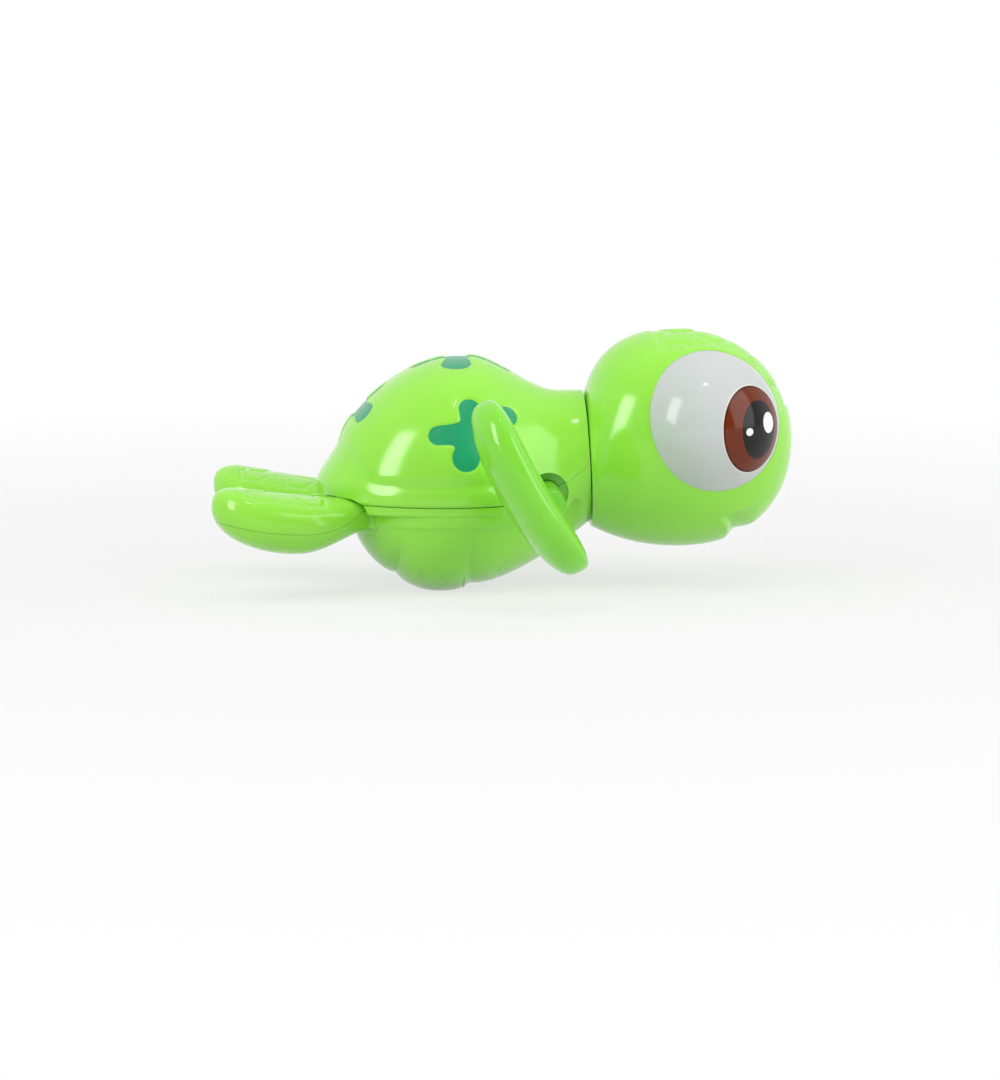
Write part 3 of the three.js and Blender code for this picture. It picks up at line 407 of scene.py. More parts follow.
def noise(tree: Tree, where: Socket, size_mm: float, detail: float) -> Socket:
    """A noise pattern with features of about size_mm and a number of finer layers."""
    inputs = {"Vector": where, "Scale": 1.0 / (size_mm * MM), "Detail": detail}
    return add_node(tree, "ShaderNodeTexNoise", inputs).outputs["Fac"]


def ranged(tree: Tree, value: Socket, source: Span, target: tuple) -> Socket:
    """A value carried over from one range to another, and held at its ends.

    Args:
        tree: Node tree that gets it.
        value: What is carried over.
        source: The range that it comes from.
        target: The range that it goes to, as numbers or as other nodes' outputs.

    Returns:
        The new value.
    """
    inputs = {"Value": value, "From Min": source[0], "From Max": source[1]}
    inputs |= {"To Min": target[0], "To Max": target[1]}
    return add_node(tree, "ShaderNodeMapRange", inputs).outputs["Result"]


def blended(tree: Tree, share: Socket, under: object, over: object) -> Socket:
    """One colour laid over another by a share."""
    inputs = {"Fac": share, "Color1": under, "Color2": over}
    return add_node(tree, "ShaderNodeMixRGB", inputs).outputs["Color"]


def combined(tree: Tree, operation: str, *values: object) -> Socket:
    """Numbers put together by a sum, a product or the like."""
    return add_node(tree, "ShaderNodeMath", dict(enumerate(values)), operation=operation).outputs["Value"]


def object_place(tree: Tree) -> Socket:
    """Where a point lies in its piece's own coordinates."""
    return add_node(tree, "ShaderNodeTexCoord").outputs["Object"]


def stored(tree: Tree, name: str) -> Socket:
    """A number that was stored for each point of the mesh."""
    return add_node(tree, "ShaderNodeAttribute", attribute_name=name).outputs["Fac"]


def new_tree(name: str) -> tuple[Material, Tree]:
    """An empty node material and its tree.

    Args:
        name: What the material is called.

    Returns:
        The material and the tree.
    """
    material = bpy.data.materials.new(name)
    material.use_nodes = True
    material.node_tree.nodes.clear()
    return material, material.node_tree


@dataclass(frozen=True)
class Moulding:
    """A moulded plastic: pigment that drifts a little with the flow, and a skin that is not quite even."""

    name: str
    colour: str
    deep: str
    roughness: Span
    ior: float = 1.53
    specular: float = 0.5
    flow_mm: float = 16.0
    skin_mm: float = 5.0
    peel_mm: float = 1.4
    peel_depth_mm: float = 0.012
    peel_strength: float = 0.5

    def base(self, tree: Tree, where: Socket) -> Socket:
        """The pigment: two near shades that drift into each other over flow_mm."""
        return blended(tree, noise(tree, where, self.flow_mm, 2.0), linear(self.deep), linear(self.colour))

    def gloss(self, tree: Tree, where: Socket) -> Socket:
        """The roughness: a range that wanders over skin_mm."""
        return ranged(tree, noise(tree, where, self.skin_mm, 3.0), NOISE_BAND, self.roughness)

    def peel(self, tree: Tree, where: Socket) -> Socket:
        """The faint orange peel of a polished mould, drawn over peel_mm so that it shows."""
        depth = {"Height": noise(tree, where, self.peel_mm, 1.0), "Distance": self.peel_depth_mm * MM}
        return add_node(tree, "ShaderNodeBump", {**depth, "Strength": self.peel_strength}).outputs["Normal"]

    def dress(self, tree: Tree, where: Socket) -> dict:
        """The shader's inputs: colour, roughness, normal, IOR and the share of its mirror light.

        Args:
            tree: The material's tree.
            where: Coordinates for its patterns.

        Returns:
            A value or an output for each input.
        """
        return {
            "Base Color": self.base(tree, where),
            "Roughness": self.gloss(tree, where),
            "Normal": self.peel(tree, where),
            "IOR": self.ior,
            "Specular IOR Level": self.specular,
        }

    def material(self) -> Material:
        """The finish with its patterns on Object coordinates.

        Returns:
            The finished material.
        """
        material, tree = new_tree(self.name)
        shader = add_node(tree, "ShaderNodeBsdfPrincipled", self.dress(tree, object_place(tree)))
        add_node(tree, "ShaderNodeOutputMaterial", {"Surface": shader.outputs["BSDF"]})
        return material


@dataclass(frozen=True)
class SprayedMoulding(Moulding):
    """A moulding with spots sprayed through a mask: the paint's edge wavers and its film is duller."""

    paint: str = "#10a36d"
    paint_deep: str = "#0c9462"
    attribute: str = "spot_distance"
    paint_roughness: float = 0.3
    cloud_mm: float = 3.0
    edge_mm: float = 0.07
    waver_mm: float = 0.12
    waver_over_mm: float = 2.0

    def dress(self, tree: Tree, where: Socket) -> dict:
        """The moulding's inputs with paint laid over them inside the spots.

        Args:
            tree: The material's tree.
            where: Coordinates for its patterns.

        Returns:
            A value or an output for each input.
        """
        inputs = super().dress(tree, where)
        waver = noise(tree, where, self.waver_over_mm, 2.0)
        wavered = combined(tree, "MULTIPLY_ADD", waver, self.waver_mm, stored(tree, self.attribute))
        painted = ranged(tree, wavered, (-self.edge_mm, self.edge_mm), UNIT[::-1])
        cloud = noise(tree, where, self.cloud_mm, 4.0)
        film = blended(tree, cloud, linear(self.paint_deep), linear(self.paint))
        inputs["Base Color"] = blended(tree, painted, inputs["Base Color"], film)
        inputs["Roughness"] = ranged(tree, painted, UNIT, (inputs["Roughness"], self.paint_roughness))
        return inputs


@dataclass(frozen=True)
class PrintedMoulding(Moulding):
    """A white dome printed in layers, each inside its own signed distance: rim, iris, pupil and glints."""

    layers: tuple[tuple[str, str, float], ...] = ()
    edge_mm: float = 0.05

    def dress(self, tree: Tree, where: Socket) -> dict:
        """The moulding's inputs with each ink laid over the last, where its distance is below its reach.

        Args:
            tree: The material's tree.
            where: Coordinates for its patterns.

        Returns:
            A value or an output for each input.
        """
        inputs = super().dress(tree, where)
        for attribute, ink, reach in self.layers:
            edge = (reach - self.edge_mm, reach + self.edge_mm)
            inside = ranged(tree, stored(tree, attribute), edge, UNIT[::-1])
            inputs["Base Color"] = blended(tree, inside, inputs["Base Color"], linear(ink))
        return inputs


@dataclass(frozen=True)
class Metal:
    """A drawn or turned metal with fine lines along its length and slightly uneven polish."""

    name: str
    colour: str
    roughness: Span
    line_mm: float = 0.25
    line_squeeze: float = 0.06

    def material(self) -> Material:
        """The finish: streaks squeezed along Y, the way every shaft runs, in its roughness.

        Returns:
            The finished material.
        """
        material, tree = new_tree(self.name)
        squeeze = {"Vector": object_place(tree), "Scale": (1.0, self.line_squeeze, 1.0)}
        lines = add_node(tree, "ShaderNodeMapping", squeeze).outputs["Vector"]
        streaks = ranged(tree, noise(tree, lines, self.line_mm, 2.0), NOISE_BAND, self.roughness)
        inputs = {"Base Color": linear(self.colour), "Metallic": 1.0, "Roughness": streaks}
        shader = add_node(tree, "ShaderNodeBsdfPrincipled", inputs)
        add_node(tree, "ShaderNodeOutputMaterial", {"Surface": shader.outputs["BSDF"]})
        return material


# Glossy ABS: injection moulded in a polished tool, so it mirrors lamps and shows a trace of flow
# The front flippers' copy is a darker shade of the lime ABS: painted shade for blade faces turned down and away
# from the lamps
SHADED_LIME_ABS = Moulding("green_abs_moulding", "#85dd3a", "#7cd533", (0.13, 0.19))
LIME_ABS = Moulding("lime_abs_moulding", "#99e647", "#90de3f", (0.13, 0.19))
SPOTTED_ABS = SprayedMoulding("lime_abs_sprayed_spots", "#99e647", "#90de3f", (0.13, 0.19))
# Glossy white ABS with pad-printed inks under the same gloss
EYE_ABS = PrintedMoulding(
    "white_abs_printed",
    "#c8cccb",
    "#c2c7c6",
    (0.1, 0.14),
    specular=0.3,
    layers=(
        ("iris_distance", "#e9e1d9", 0.17),
        ("iris_distance", "#4c1000", 0.0),
        ("iris_distance", "#6c2700", -0.4),
        ("pupil_distance", "#121111", 0.0),
        ("glint_distance", "#f4f5f6", 0.0),
    ),
)
# Natural acetal: waxy, off-white and dull
ACETAL = Moulding("acetal_natural", "#ece9dd", "#e3dfd1", (0.38, 0.5), ior=1.48)
# Grey ABS from an unpolished tool: it scatters light and mirrors nothing sharply
GREY_ABS = Moulding("grey_abs_matte", "#8d9296", "#83888c", (0.45, 0.6))
# Black nitrile rubber: dull, with a dusty bloom
NITRILE = Moulding("nitrile_rubber", "#2b2b2c", "#232324", (0.7, 0.85), ior=1.52)
# Drawn steel, blued spring steel and turned brass: fine lines draw their highlights out sideways
STEEL = Metal("drawn_steel", "#b9bcc0", (0.22, 0.38))
SPRING_STEEL = Metal("blued_spring_steel", "#5b6470", (0.25, 0.4))
BRASS = Metal("turned_brass", "#c9a24a", (0.2, 0.35))


@dataclass(frozen=True)
class Scutes:
    """A patch of raised plates with grooves between them, as moulded on the crown and the flippers."""

    spacing: float = 5.2
    height: float = 0.5
    groove: float = 1.1
    uneven: float = 0.35
    shake: float = 0.3
    floor_share: float = 0.2
    lattice: int = 12
    seed: int = 7

    def relief(self, along: Grid, across: Grid) -> Grid:
        """How far each point stands up.

        Plate centres sit on a staggered lattice, shaken by a seeded draw. A point's height is eased by the
        difference between its distances to the two nearest centres, which is 0 in the middle of a groove.

        Args:
            along: First surface coordinate in millimetres.
            across: Second surface coordinate in millimetres.

        Returns:
            Millimetres above the groove floor.
        """
        draw = np.random.default_rng(self.seed)
        steps = np.arange(-self.lattice, self.lattice + 1) * self.spacing
        rows, columns = np.meshgrid(steps, steps, indexing="ij")
        columns = columns + 0.5 * self.spacing * (np.arange(len(steps)) % 2)[:, None]
        centres = np.stack([rows.ravel(), columns.ravel()], axis=1)
        centres = centres + draw.uniform(-self.shake, self.shake, centres.shape) * self.spacing
        lift = 1.0 - draw.uniform(0.0, 2.0 * self.uneven, len(centres))
        low = np.array([along.min(), across.min()]) - 2.0 * self.spacing
        high = np.array([along.max(), across.max()]) + 2.0 * self.spacing
        near = np.all((centres > low) & (centres < high), axis=1)
        centres, lift = centres[near], lift[near]
        gaps = np.hypot(along.ravel()[:, None] - centres[:, 0], across.ravel()[:, None] - centres[:, 1])
        order = np.argpartition(gaps, 1, axis=1)[:, :2]
        pair = np.take_along_axis(gaps, order, axis=1)
        first = np.take_along_axis(order, np.argmin(pair, axis=1)[:, None], axis=1)[:, 0]
        from_groove = np.abs(pair[:, 0] - pair[:, 1])
        stand = self.height * lift[first] * ease(from_groove, self.floor_share * self.groove, self.groove)
        return stand.reshape(along.shape)


@dataclass(frozen=True)
class Clover:
    """A four-lobed spot on the dome, drawn on the plane that touches it at one point."""

    x: float
    turn_deg: float
    lobes: tuple[tuple[float, float, float], ...]
    waist: float
    soft: float = 0.45
    held: Span = (-6.0, 12.0)

    def distance(self, flat: Grid) -> Grid:
        """Signed distance to the clover's edge on its own plane, negative inside.

        The clover is a soft union, -k log(sum exp(-d/k)), of tapered bars from its middle to each lobe.

        Args:
            flat: Points from its middle as (..., 2).

        Returns:
            Millimetres from the edge.
        """
        total = np.zeros(flat.shape[:-1])
        for a, b, radius in self.lobes:
            lobe = np.array([a, b])
            share = np.clip(flat @ lobe / (lobe @ lobe), 0.0, 1.0)
            away = np.linalg.norm(flat - share[..., None] * lobe, axis=-1)
            gap = away - mix(self.waist, radius, share)
            total += np.exp(-np.clip(gap, *self.held) / self.soft)
        return -self.soft * np.log(total)


@dataclass
class Body:
    """The two body shells: a dome over a bowl, both drawn out to a round neck."""

    half_width: float = 26.3
    rear_x: float = -30.6
    widest_x: float = -1.0
    crown_z: float = 51.3
    dome_power: float = 1.7
    dome_full: float = 2.25
    seam_z: float = 20.2
    seam_rise_x: float = 10.0
    shoulder_x: float = 3.0
    nape_x: float = 23.0
    belly_rear_x: float = -23.7
    belly_low_x: float = -2.0
    belly_flat_depth: float = 1.1
    belly_power: float = 2.2
    chest_x: float = 2.5
    chest_step: float = 0.6
    chest_low: float = 0.4
    chest_power: float = 1.6
    rim_height: float = 2.0
    rim_edge: float = 0.35
    rim_inset: float = 0.9
    rim_round: float = 0.6
    neck_radius: float = 14.8
    neck_spare: float = 3.0
    wall: float = 2.0
    hairline: float = 0.06
    lip: float = 0.7
    lip_share: float = 0.8
    arch_even: float = 0.7
    rear_soft: float = 0.8
    brim_turn: Span = (2.0, 14.0)
    brim_end: Span = (8.0, 18.0)
    brim_height: Span = (12.0, 4.7)
    brim_dent: Span = (1.0, 0.42)
    brim_spread: Span = (4.8, 1.25)
    roll_height: float = 3.7
    roll_stand: float = 0.55
    roll_spread: float = 2.3
    spot_depth: float = 0.38
    spot_wall: float = 0.4
    spot_reach: float = 6.0
    paint_inset: float = 0.75
    crease_xs: Span = (-13.3, 2.5)
    crease_depth: float = 1.15
    crease_reach: float = 2.4
    crease_lean: float = 0.12
    crease_upright_z: float = 8.0
    crease_fade: Span = (1.0, 9.0)
    band_height: float = 4.6
    band_step: float = 0.4
    band_edge: Span = (-0.5, 0.7)
    band_start: float = 4.0
    fold_top: Span = (25.8, 21.2)
    fold_low: Span = (22.4, 16.4)
    fold_depth: float = 1.5
    fold_reach: float = 1.1
    fold_back: float = 4.0
    fold_head: Span = (-0.3, 0.7)
    fold_tail: Span = (5.0, 10.0)
    fold_clear: Span = (3.5, 1.0)
    cup_radius: float = 4.6
    cup_wall: float = 1.5
    cup_depth: float = 5.5
    cup_lip: float = 0.25
    seal_radius: float = 3.3
    seal_room: float = 1.52
    boss_bore: float = 2.7
    axle_bore: float = 1.7
    neck_bore: float = 8.3
    neck_bore_half: float = 10.0
    screw_xs: Span = (-6.0, 11.5)
    screw_inset: float = 8.2
    screw_bore: float = 1.45
    plug_radius: float = 2.2
    plug_top: float = 9.8
    screw_seat_z: float = 12.0
    screw_grip: float = 16.0
    column_radius: float = 3.8
    dome_steps: tuple[int, int] = (210, 250)
    bowl_steps: tuple[int, int] = (230, 240)
    hollow_steps: tuple[int, int] = (70, 60)
    rim_steps: int = 150
    rim_corner: int = 6
    bore_sides: int = 40
    hollow_over: float = 2.0
    clovers: tuple[Clover, ...] = (
        Clover(3.3, 151.6, ((-0.3, 5.7, 2.8), (-7.4, 0.1, 2.6), (-2.1, -5.3, 3.4), (8.6, 4.5, 2.7)), 3.0),
        Clover(0.5, 90.0, ((7.9, 0.0, 4.2), (-7.5, 0.0, 3.2), (-0.5, 7.6, 3.7), (-0.5, -7.6, 3.7)), 2.0),
        Clover(-21.3, 90.0, ((5.4, 0.0, 2.8), (-6.2, 0.0, 2.8), (0.3, 8.0, 3.0), (0.3, -8.0, 3.0)), 2.0),
    )
    neck: Grid = field(default_factory=lambda: joint_point("head_turn"))
    axle: Grid = field(default_factory=lambda: joint_point("paddle_spin"))

    def neck_frame(self) -> Matrix:
        """The neck's frame: X along the axis that the head turns on, Z up and its origin in the neck.

        Returns:
            The matrix that places it.
        """
        x, _, z = joint_axis("head_turn")
        across = Matrix(((x, 0.0, -z), (0.0, 1.0, 0.0), (z, 0.0, x))).to_4x4()
        return Matrix.Translation(Vector(self.neck)) @ across

    def to_neck(self, x: Grid) -> Grid:
        """A smooth step from the body at 0 to the neck at 1."""
        return ease(x, self.shoulder_x, self.nape_x)

    def seam(self, x: Grid) -> Grid:
        """Height of the seam: level, then rising to the neck as a parabola."""
        t = np.maximum(0.0, (x - self.seam_rise_x) / (self.neck[0] - self.seam_rise_x))
        return self.seam_z + (self.neck[2] - self.seam_z) * t * t

    def width(self, x: Grid, inset: float = 0.0) -> Grid:
        """Half width at the rim: an ellipse behind the widest place and a smooth step to the neck.

        Args:
            x: Distances along the toy.
            inset: How far inside the outer surface.

        Returns:
            Millimetres from the middle plane.
        """
        reach = self.widest_x - self.rear_x - inset
        rear = (self.half_width - inset) * bulge((x - self.widest_x) / reach, 2.0)
        front = mix(self.half_width, self.neck_radius, ease(x, self.widest_x, self.neck[0])) - inset
        return np.where(x < self.widest_x, rear, front)

    def back(self, x: Grid, inset: float = 0.0) -> Grid:
        """Height of the back along the middle: a rounded rear and a smooth step down to the nape.

        Args:
            x: Distances along the toy.
            inset: How far inside the outer surface.

        Returns:
            Millimetres over the table.
        """
        arch = bulge(x / (-self.rear_x - inset), self.dome_power)
        rear = self.seam_z + (self.crown_z - self.seam_z - inset) * arch
        nape = mix(self.crown_z, self.neck[2] + self.neck_radius, self.to_neck(x)) - inset
        return np.where(x < 0.0, rear, nape)

    def bowl_width(self, x: Grid, inset: float = 0.0) -> Grid:
        """Half width of the bowl: the rim's, a little inset, with an elliptical rear of its own.

        Args:
            x: Distances along the toy.
            inset: How far inside the outer surface.

        Returns:
            Millimetres from the middle plane.
        """
        reach = self.belly_low_x - self.belly_rear_x - inset
        widest = self.width(np.array(self.belly_low_x)) - self.rim_inset - inset
        rear = widest * bulge((x - self.belly_low_x) / reach, 2.0)
        front = self.width(x) - self.rim_inset * (1.0 - self.to_neck(x)) - inset
        return np.where(x < self.belly_low_x, rear, front)

    def belly(self, x: Grid, inset: float = 0.0) -> Grid:
        """Height of the belly: an elliptical rear, a small step up and a power curve up the chest.

        Args:
            x: Distances along the toy.
            inset: How far inside the outer surface.

        Returns:
            Millimetres over the table.
        """
        reach = self.belly_low_x - self.belly_rear_x - inset
        depth = self.seam_z + self.belly_flat_depth - inset
        rear = self.seam_z - depth * bulge((x - self.belly_low_x) / reach, 2.0)
        step = ease(x, self.chest_x - self.chest_step, self.chest_x + self.chest_step)
        t = np.maximum(0.0, (x - self.chest_x) / (self.neck[0] - self.chest_x))
        low = mix(-self.belly_flat_depth, self.chest_low, step)
        chest = mix(low, self.neck[2] - self.neck_radius, t**self.chest_power) + inset
        return np.where(x < self.belly_low_x, rear, chest)

    def spot_distance(self, points: Grid) -> Grid:
        """Signed distance to the edge of the nearest clover, negative inside.

        Each clover is measured on the plane that touches the dome at its middle. The one on the toy's right
        also stands, mirrored, on its left.

        Args:
            points: Points on the dome as (..., 3).

        Returns:
            Millimetres from the edge.
        """
        mirrored = points * np.array([1.0, 0.0, 1.0]) + np.abs(points) * np.array([0.0, -1.0, 0.0])
        nearest = np.full(points.shape[:-1], FAR)
        step, tilt = 0.05, 0.005
        for clover in self.clovers:
            turn = math.radians(clover.turn_deg)
            middle = self.dome_point(clover.x, turn)
            ahead = self.dome_point(clover.x + step, turn) - middle
            beside = self.dome_point(clover.x, turn + tilt) - middle
            along = ahead / np.linalg.norm(ahead)
            normal = np.cross(ahead, beside)
            normal *= np.sign(normal[2]) / np.linalg.norm(normal)
            up = np.cross(normal, along)
            offset = (mirrored if clover.turn_deg > 90.0 else points) - middle
            flat = np.stack([offset @ along, offset @ up], axis=-1)
            near = np.abs(offset @ normal) < self.spot_reach
            nearest = np.minimum(nearest, np.where(near, clover.distance(flat), FAR))
        return nearest

    def dome_point(self, x: float, turn: float) -> Grid:
        """One point of the plain dome.

        Args:
            x: Its distance along the toy.
            turn: Its turn from the left rim, in radians.

        Returns:
            The point.
        """
        at = np.array(x)
        across, up = self.dome_section(at, np.array(turn))
        return np.array([x, self.width(at) * across, self.seam(at) + (self.back(at) - self.seam(at)) * up])

    def dome_section(self, x: Grid, turn: Grid) -> tuple[Grid, Grid]:
        """Shares of the width and the height at a turn: a full arch, and a half circle at the neck."""
        return rounded_pair(turn, 2.0 / mix(self.dome_full, 2.0, self.to_neck(x)))

    def dome(self, inset: float, lift: float, steps: tuple[int, int]) -> Grid:
        """The dome as half superellipse rings over the seam, with width and height taken from dome_section.

        Args:
            inset: How far inside the outer surface.
            lift: Height of its flat side over the seam.
            steps: Steps along X and over the back.

        Returns:
            Rings of points.
        """
        x = crowded(self.rear_x + inset + SLIVER, self.neck[0] + self.neck_spare, steps[0])[:, None]
        t = np.linspace(0.0, 1.0, steps[1] + 1)[None]
        at_rims = 0.5 * (1.0 - np.cos(np.pi * t))
        turn = np.pi * mix(at_rims, t, self.arch_even)
        base = self.seam(x) + lift
        high = np.maximum(self.back(x, inset) - base, 2.0 * SLIVER)
        across, up = self.dome_section(x, turn)
        z = base + high * np.maximum(up, 0.0)
        return points_at(x, self.width(x, inset) * across, z)

    def outer_dome(self) -> Grid:
        """The dome's outside: a dent above a rounded brim, and the clovers sunk into it.

        The dent is a bell curve of the height over the seam, higher and wider at the rear, where a second one
        rolls the brim out. The lip turns in by a quarter circle.

        Returns:
            Rings of points.
        """
        rings = self.dome(0.0, self.hairline / 2.0, self.dome_steps)
        x, height = rings[..., 0], rings[..., 2] - self.seam(rings[..., 0]) - self.hairline / 2.0
        aside = ease(x, *(self.rear_x + turn for turn in self.brim_turn))
        fields = (self.brim_height, self.brim_dent, self.brim_spread)
        middle, depth, spread = (mix(*pair, aside) for pair in fields)
        kept = (1.0 - ease(x, *self.brim_end)) * ease(x, self.rear_x, self.rear_x + self.rear_soft)
        brim = depth * bell(height, middle, spread) * kept
        roll = self.roll_stand * bell(height, self.roll_height, self.roll_spread) * (1.0 - aside)
        tuck = np.clip(self.lip - height, 0.0, self.lip)
        turned_in = (self.lip - np.sqrt(self.lip**2 - tuck**2)) * self.lip_share * kept
        sunk = self.spot_depth * (1.0 - ease(self.spot_distance(rings), -self.spot_wall, 0.0))
        return swollen(rings, roll - brim - turned_in - sunk, closed=False)

    def bowl(self, inset: float, lift: float, steps: tuple[int, int]) -> Grid:
        """The bowl as half superellipse rings under the seam, rounder towards the neck.

        Args:
            inset: How far inside the outer surface.
            lift: Height of its flat side over the seam.
            steps: Steps along X and under the belly.

        Returns:
            Rings of points.
        """
        x = crowded(self.belly_rear_x + inset + SLIVER, self.neck[0] + self.neck_spare, steps[0])[:, None]
        turn = np.linspace(0.0, np.pi, steps[1] + 1)[None]
        across, down = rounded_pair(turn, 2.0 / mix(self.belly_power, 2.0, self.to_neck(x)))
        top = self.seam(x) + lift
        deep = np.maximum(top - self.belly(x, inset), 2.0 * SLIVER)
        z = top - deep * np.maximum(down, 0.0)
        return points_at(x, self.bowl_width(x, inset) * across, z)

    def fold(self, x: Grid, z: Grid) -> Grid:
        """How far the fold below each shoulder leans in: from a line, and back again before the neck.

        Args:
            x: Distances along the toy.
            z: Heights.

        Returns:
            Millimetres below the skin.
        """
        top, low = np.array(self.fold_top), np.array(self.fold_low)
        down = (low - top) / np.linalg.norm(low - top)
        from_top = np.stack([x, z], axis=-1) - top
        ahead = from_top @ np.array([-down[1], down[0]]) / self.fold_reach
        along = from_top @ down
        lean = np.clip(ahead, 0.0, 1.0) * (1.0 - ease(ahead, 1.0, self.fold_back))
        lean = lean * ease(along, *self.fold_head) * (1.0 - ease(along, *self.fold_tail))
        return self.fold_depth * lean * (1.0 - ease(x, *(self.neck[0] - gap for gap in self.fold_clear)))

    def outer_bowl(self) -> Grid:
        """The bowl's outside: pillows between creases, a band under the seam and a fold below each shoulder.

        A crease falls off as exp(-|x - crease| / reach), on a line that leans a little.

        Returns:
            Rings of points.
        """
        rings = self.bowl(0.0, -self.hairline / 2.0, self.bowl_steps)
        x, z = rings[..., 0], rings[..., 2]
        below = self.seam(x) - z - self.band_height
        upright = x - self.crease_lean * (z - self.crease_upright_z)
        creases = sum(np.exp(-np.abs(upright - place) / self.crease_reach) for place in self.crease_xs)
        pillow = self.crease_depth * creases * ease(below, *self.crease_fade)
        band = self.band_step * (1.0 - ease(below, *self.band_edge)) * (1.0 - self.to_neck(x))
        band = band * ease(x, self.belly_rear_x, self.belly_rear_x + self.band_start)
        return swollen(rings, band - pillow - self.fold(x, z), closed=False)

    def rim(self) -> Grid:
        """The band along the top of the bowl, a rounded rectangle that follows the rim.

        Returns:
            Rings of points.
        """
        x = crowded(self.rear_x + self.rim_edge + SLIVER, self.neck[0], self.rim_steps)[:, None]
        half = self.width(x, self.rim_edge)
        top = self.seam(x) - self.hairline / 2.0
        edge = np.linspace(0.0, np.pi / 2.0, self.rim_corner)[None]
        soft = np.minimum(self.rim_round, 0.5 * half)
        beside = -half + soft * (1.0 - np.cos(edge))
        above = top - self.rim_height + soft * (1.0 - np.sin(edge))
        right = np.stack([beside, above], axis=-1)
        left = right[:, ::-1] * np.array([-1.0, 1.0])
        lids = [np.stack([sign * half, top], axis=-1) for sign in (1.0, -1.0)]
        section = np.concatenate([*lids, right, left], axis=1)
        return np.concatenate([np.broadcast_to(x[..., None], (*section.shape[:2], 1)), section], axis=-1)

    def behind_neck(self, reach: float) -> Solid:
        """Everything behind a plane across the neck, reach in front of the neck's own."""
        return Solid.block((-2.0 * FAR, -FAR, -FAR), (reach, FAR, FAR)).moved(self.neck_frame())

    def cross_bar(self, side: Side, radius: float, inner: float, outer: float = FAR) -> Solid:
        """A bar along the axle on one side.

        Args:
            side: Which side.
            radius: Radius of the bar.
            inner: Where it starts, from the floor of the shoulder cup outwards.
            outer: Where it ends.

        Returns:
            The solid.
        """
        x, _, z = self.axle
        floor = float(self.width(np.array(x))) - self.cup_depth
        ends = [np.array([x, side.value * (floor + reach), z]) for reach in (inner, outer)]
        return Solid.rod(*ends, radius)

    def screws(self) -> list[Span]:
        """Where the shell screws stand, as X and Y."""
        ys = [float(self.width(np.array(x))) - self.screw_inset for x in self.screw_xs]
        return [(x, side.value * y) for x, y in zip(self.screw_xs, ys) for side in Side]

    def columns(self, radius: float, low: float, high: float) -> list[Solid]:
        """Upright bars round the screws."""
        ends = [[np.array([x, y, z]) for z in (low, high)] for x, y in self.screws()]
        return [Solid.rod(*pair, radius, self.bore_sides) for pair in ends]

    def openings(self) -> list[Solid]:
        """What both shells have cut out of them: shoulder cups, seal pockets behind a lip, and holes.

        Returns:
            The solids to cut with.
        """
        x, _, z = self.axle
        through = [np.array([x, y, z]) for y in (-FAR, FAR)]
        axle = Solid.rod(*through, self.axle_bore, self.bore_sides)
        reach = np.array([self.neck_bore_half, 0.0, 0.0])
        neck = Solid.rod(-reach, reach, self.neck_bore)
        cups = [self.cross_bar(side, self.cup_radius, self.seal_room + self.cup_lip) for side in Side]
        seals = [self.cross_bar(side, self.seal_radius, 0.0, self.seal_room) for side in Side]
        bosses = [self.cross_bar(side, self.boss_bore, self.seal_room / 2.0) for side in Side]
        return [*cups, *seals, *bosses, axle, neck.moved(self.neck_frame())]

    def hollowed(self, whole: Solid, hollow: Solid, core: Solid) -> Solid:
        """A shell with its fittings left standing inside.

        Args:
            whole: The shell as a full solid.
            hollow: What is taken out of it.
            core: Where the cups' walls and the screw columns may stand.

        Returns:
            The shell.
        """
        core = core.changed(Cut.KEEP, self.behind_neck(-self.wall / 2.0))
        blanks = [self.cross_bar(side, self.cup_radius + self.cup_wall, -self.cup_wall) for side in Side]
        blanks += self.columns(self.column_radius, 0.0, FAR)
        fittings = [blank.changed(Cut.KEEP, core) for blank in blanks]
        hollow = hollow.changed(Cut.KEEP, self.behind_neck(-self.wall))
        return whole.changed(Cut.REMOVE, hollow).changed(Cut.JOIN, *fittings)

    def build_upper(self, fin_room: list[Solid], material: Material) -> None:
        """Makes the dome shell.

        Args:
            fin_room: The space that the rear flippers swing in.
            material: Its finish.
        """
        hollow = Solid.lofted(self.dome(self.wall, -self.hollow_over, self.hollow_steps))
        core = Solid.lofted(self.dome(self.wall / 2.0, self.hairline, self.hollow_steps))
        whole = Solid.lofted(self.outer_dome()).changed(Cut.KEEP, self.behind_neck(0.0))
        bores = self.columns(self.screw_bore, 0.0, self.screw_seat_z + self.screw_grip)
        shell = self.hollowed(whole, hollow, core)
        shell = shell.changed(Cut.REMOVE, *self.openings(), *fin_room, *bores)
        inset = self.spot_wall * self.paint_inset
        shell.note("spot_distance", self.spot_distance(shell.points()) + inset)
        Place("dome_shell", "body", "green_abs", ("upper_shell",)).show(shell, material)

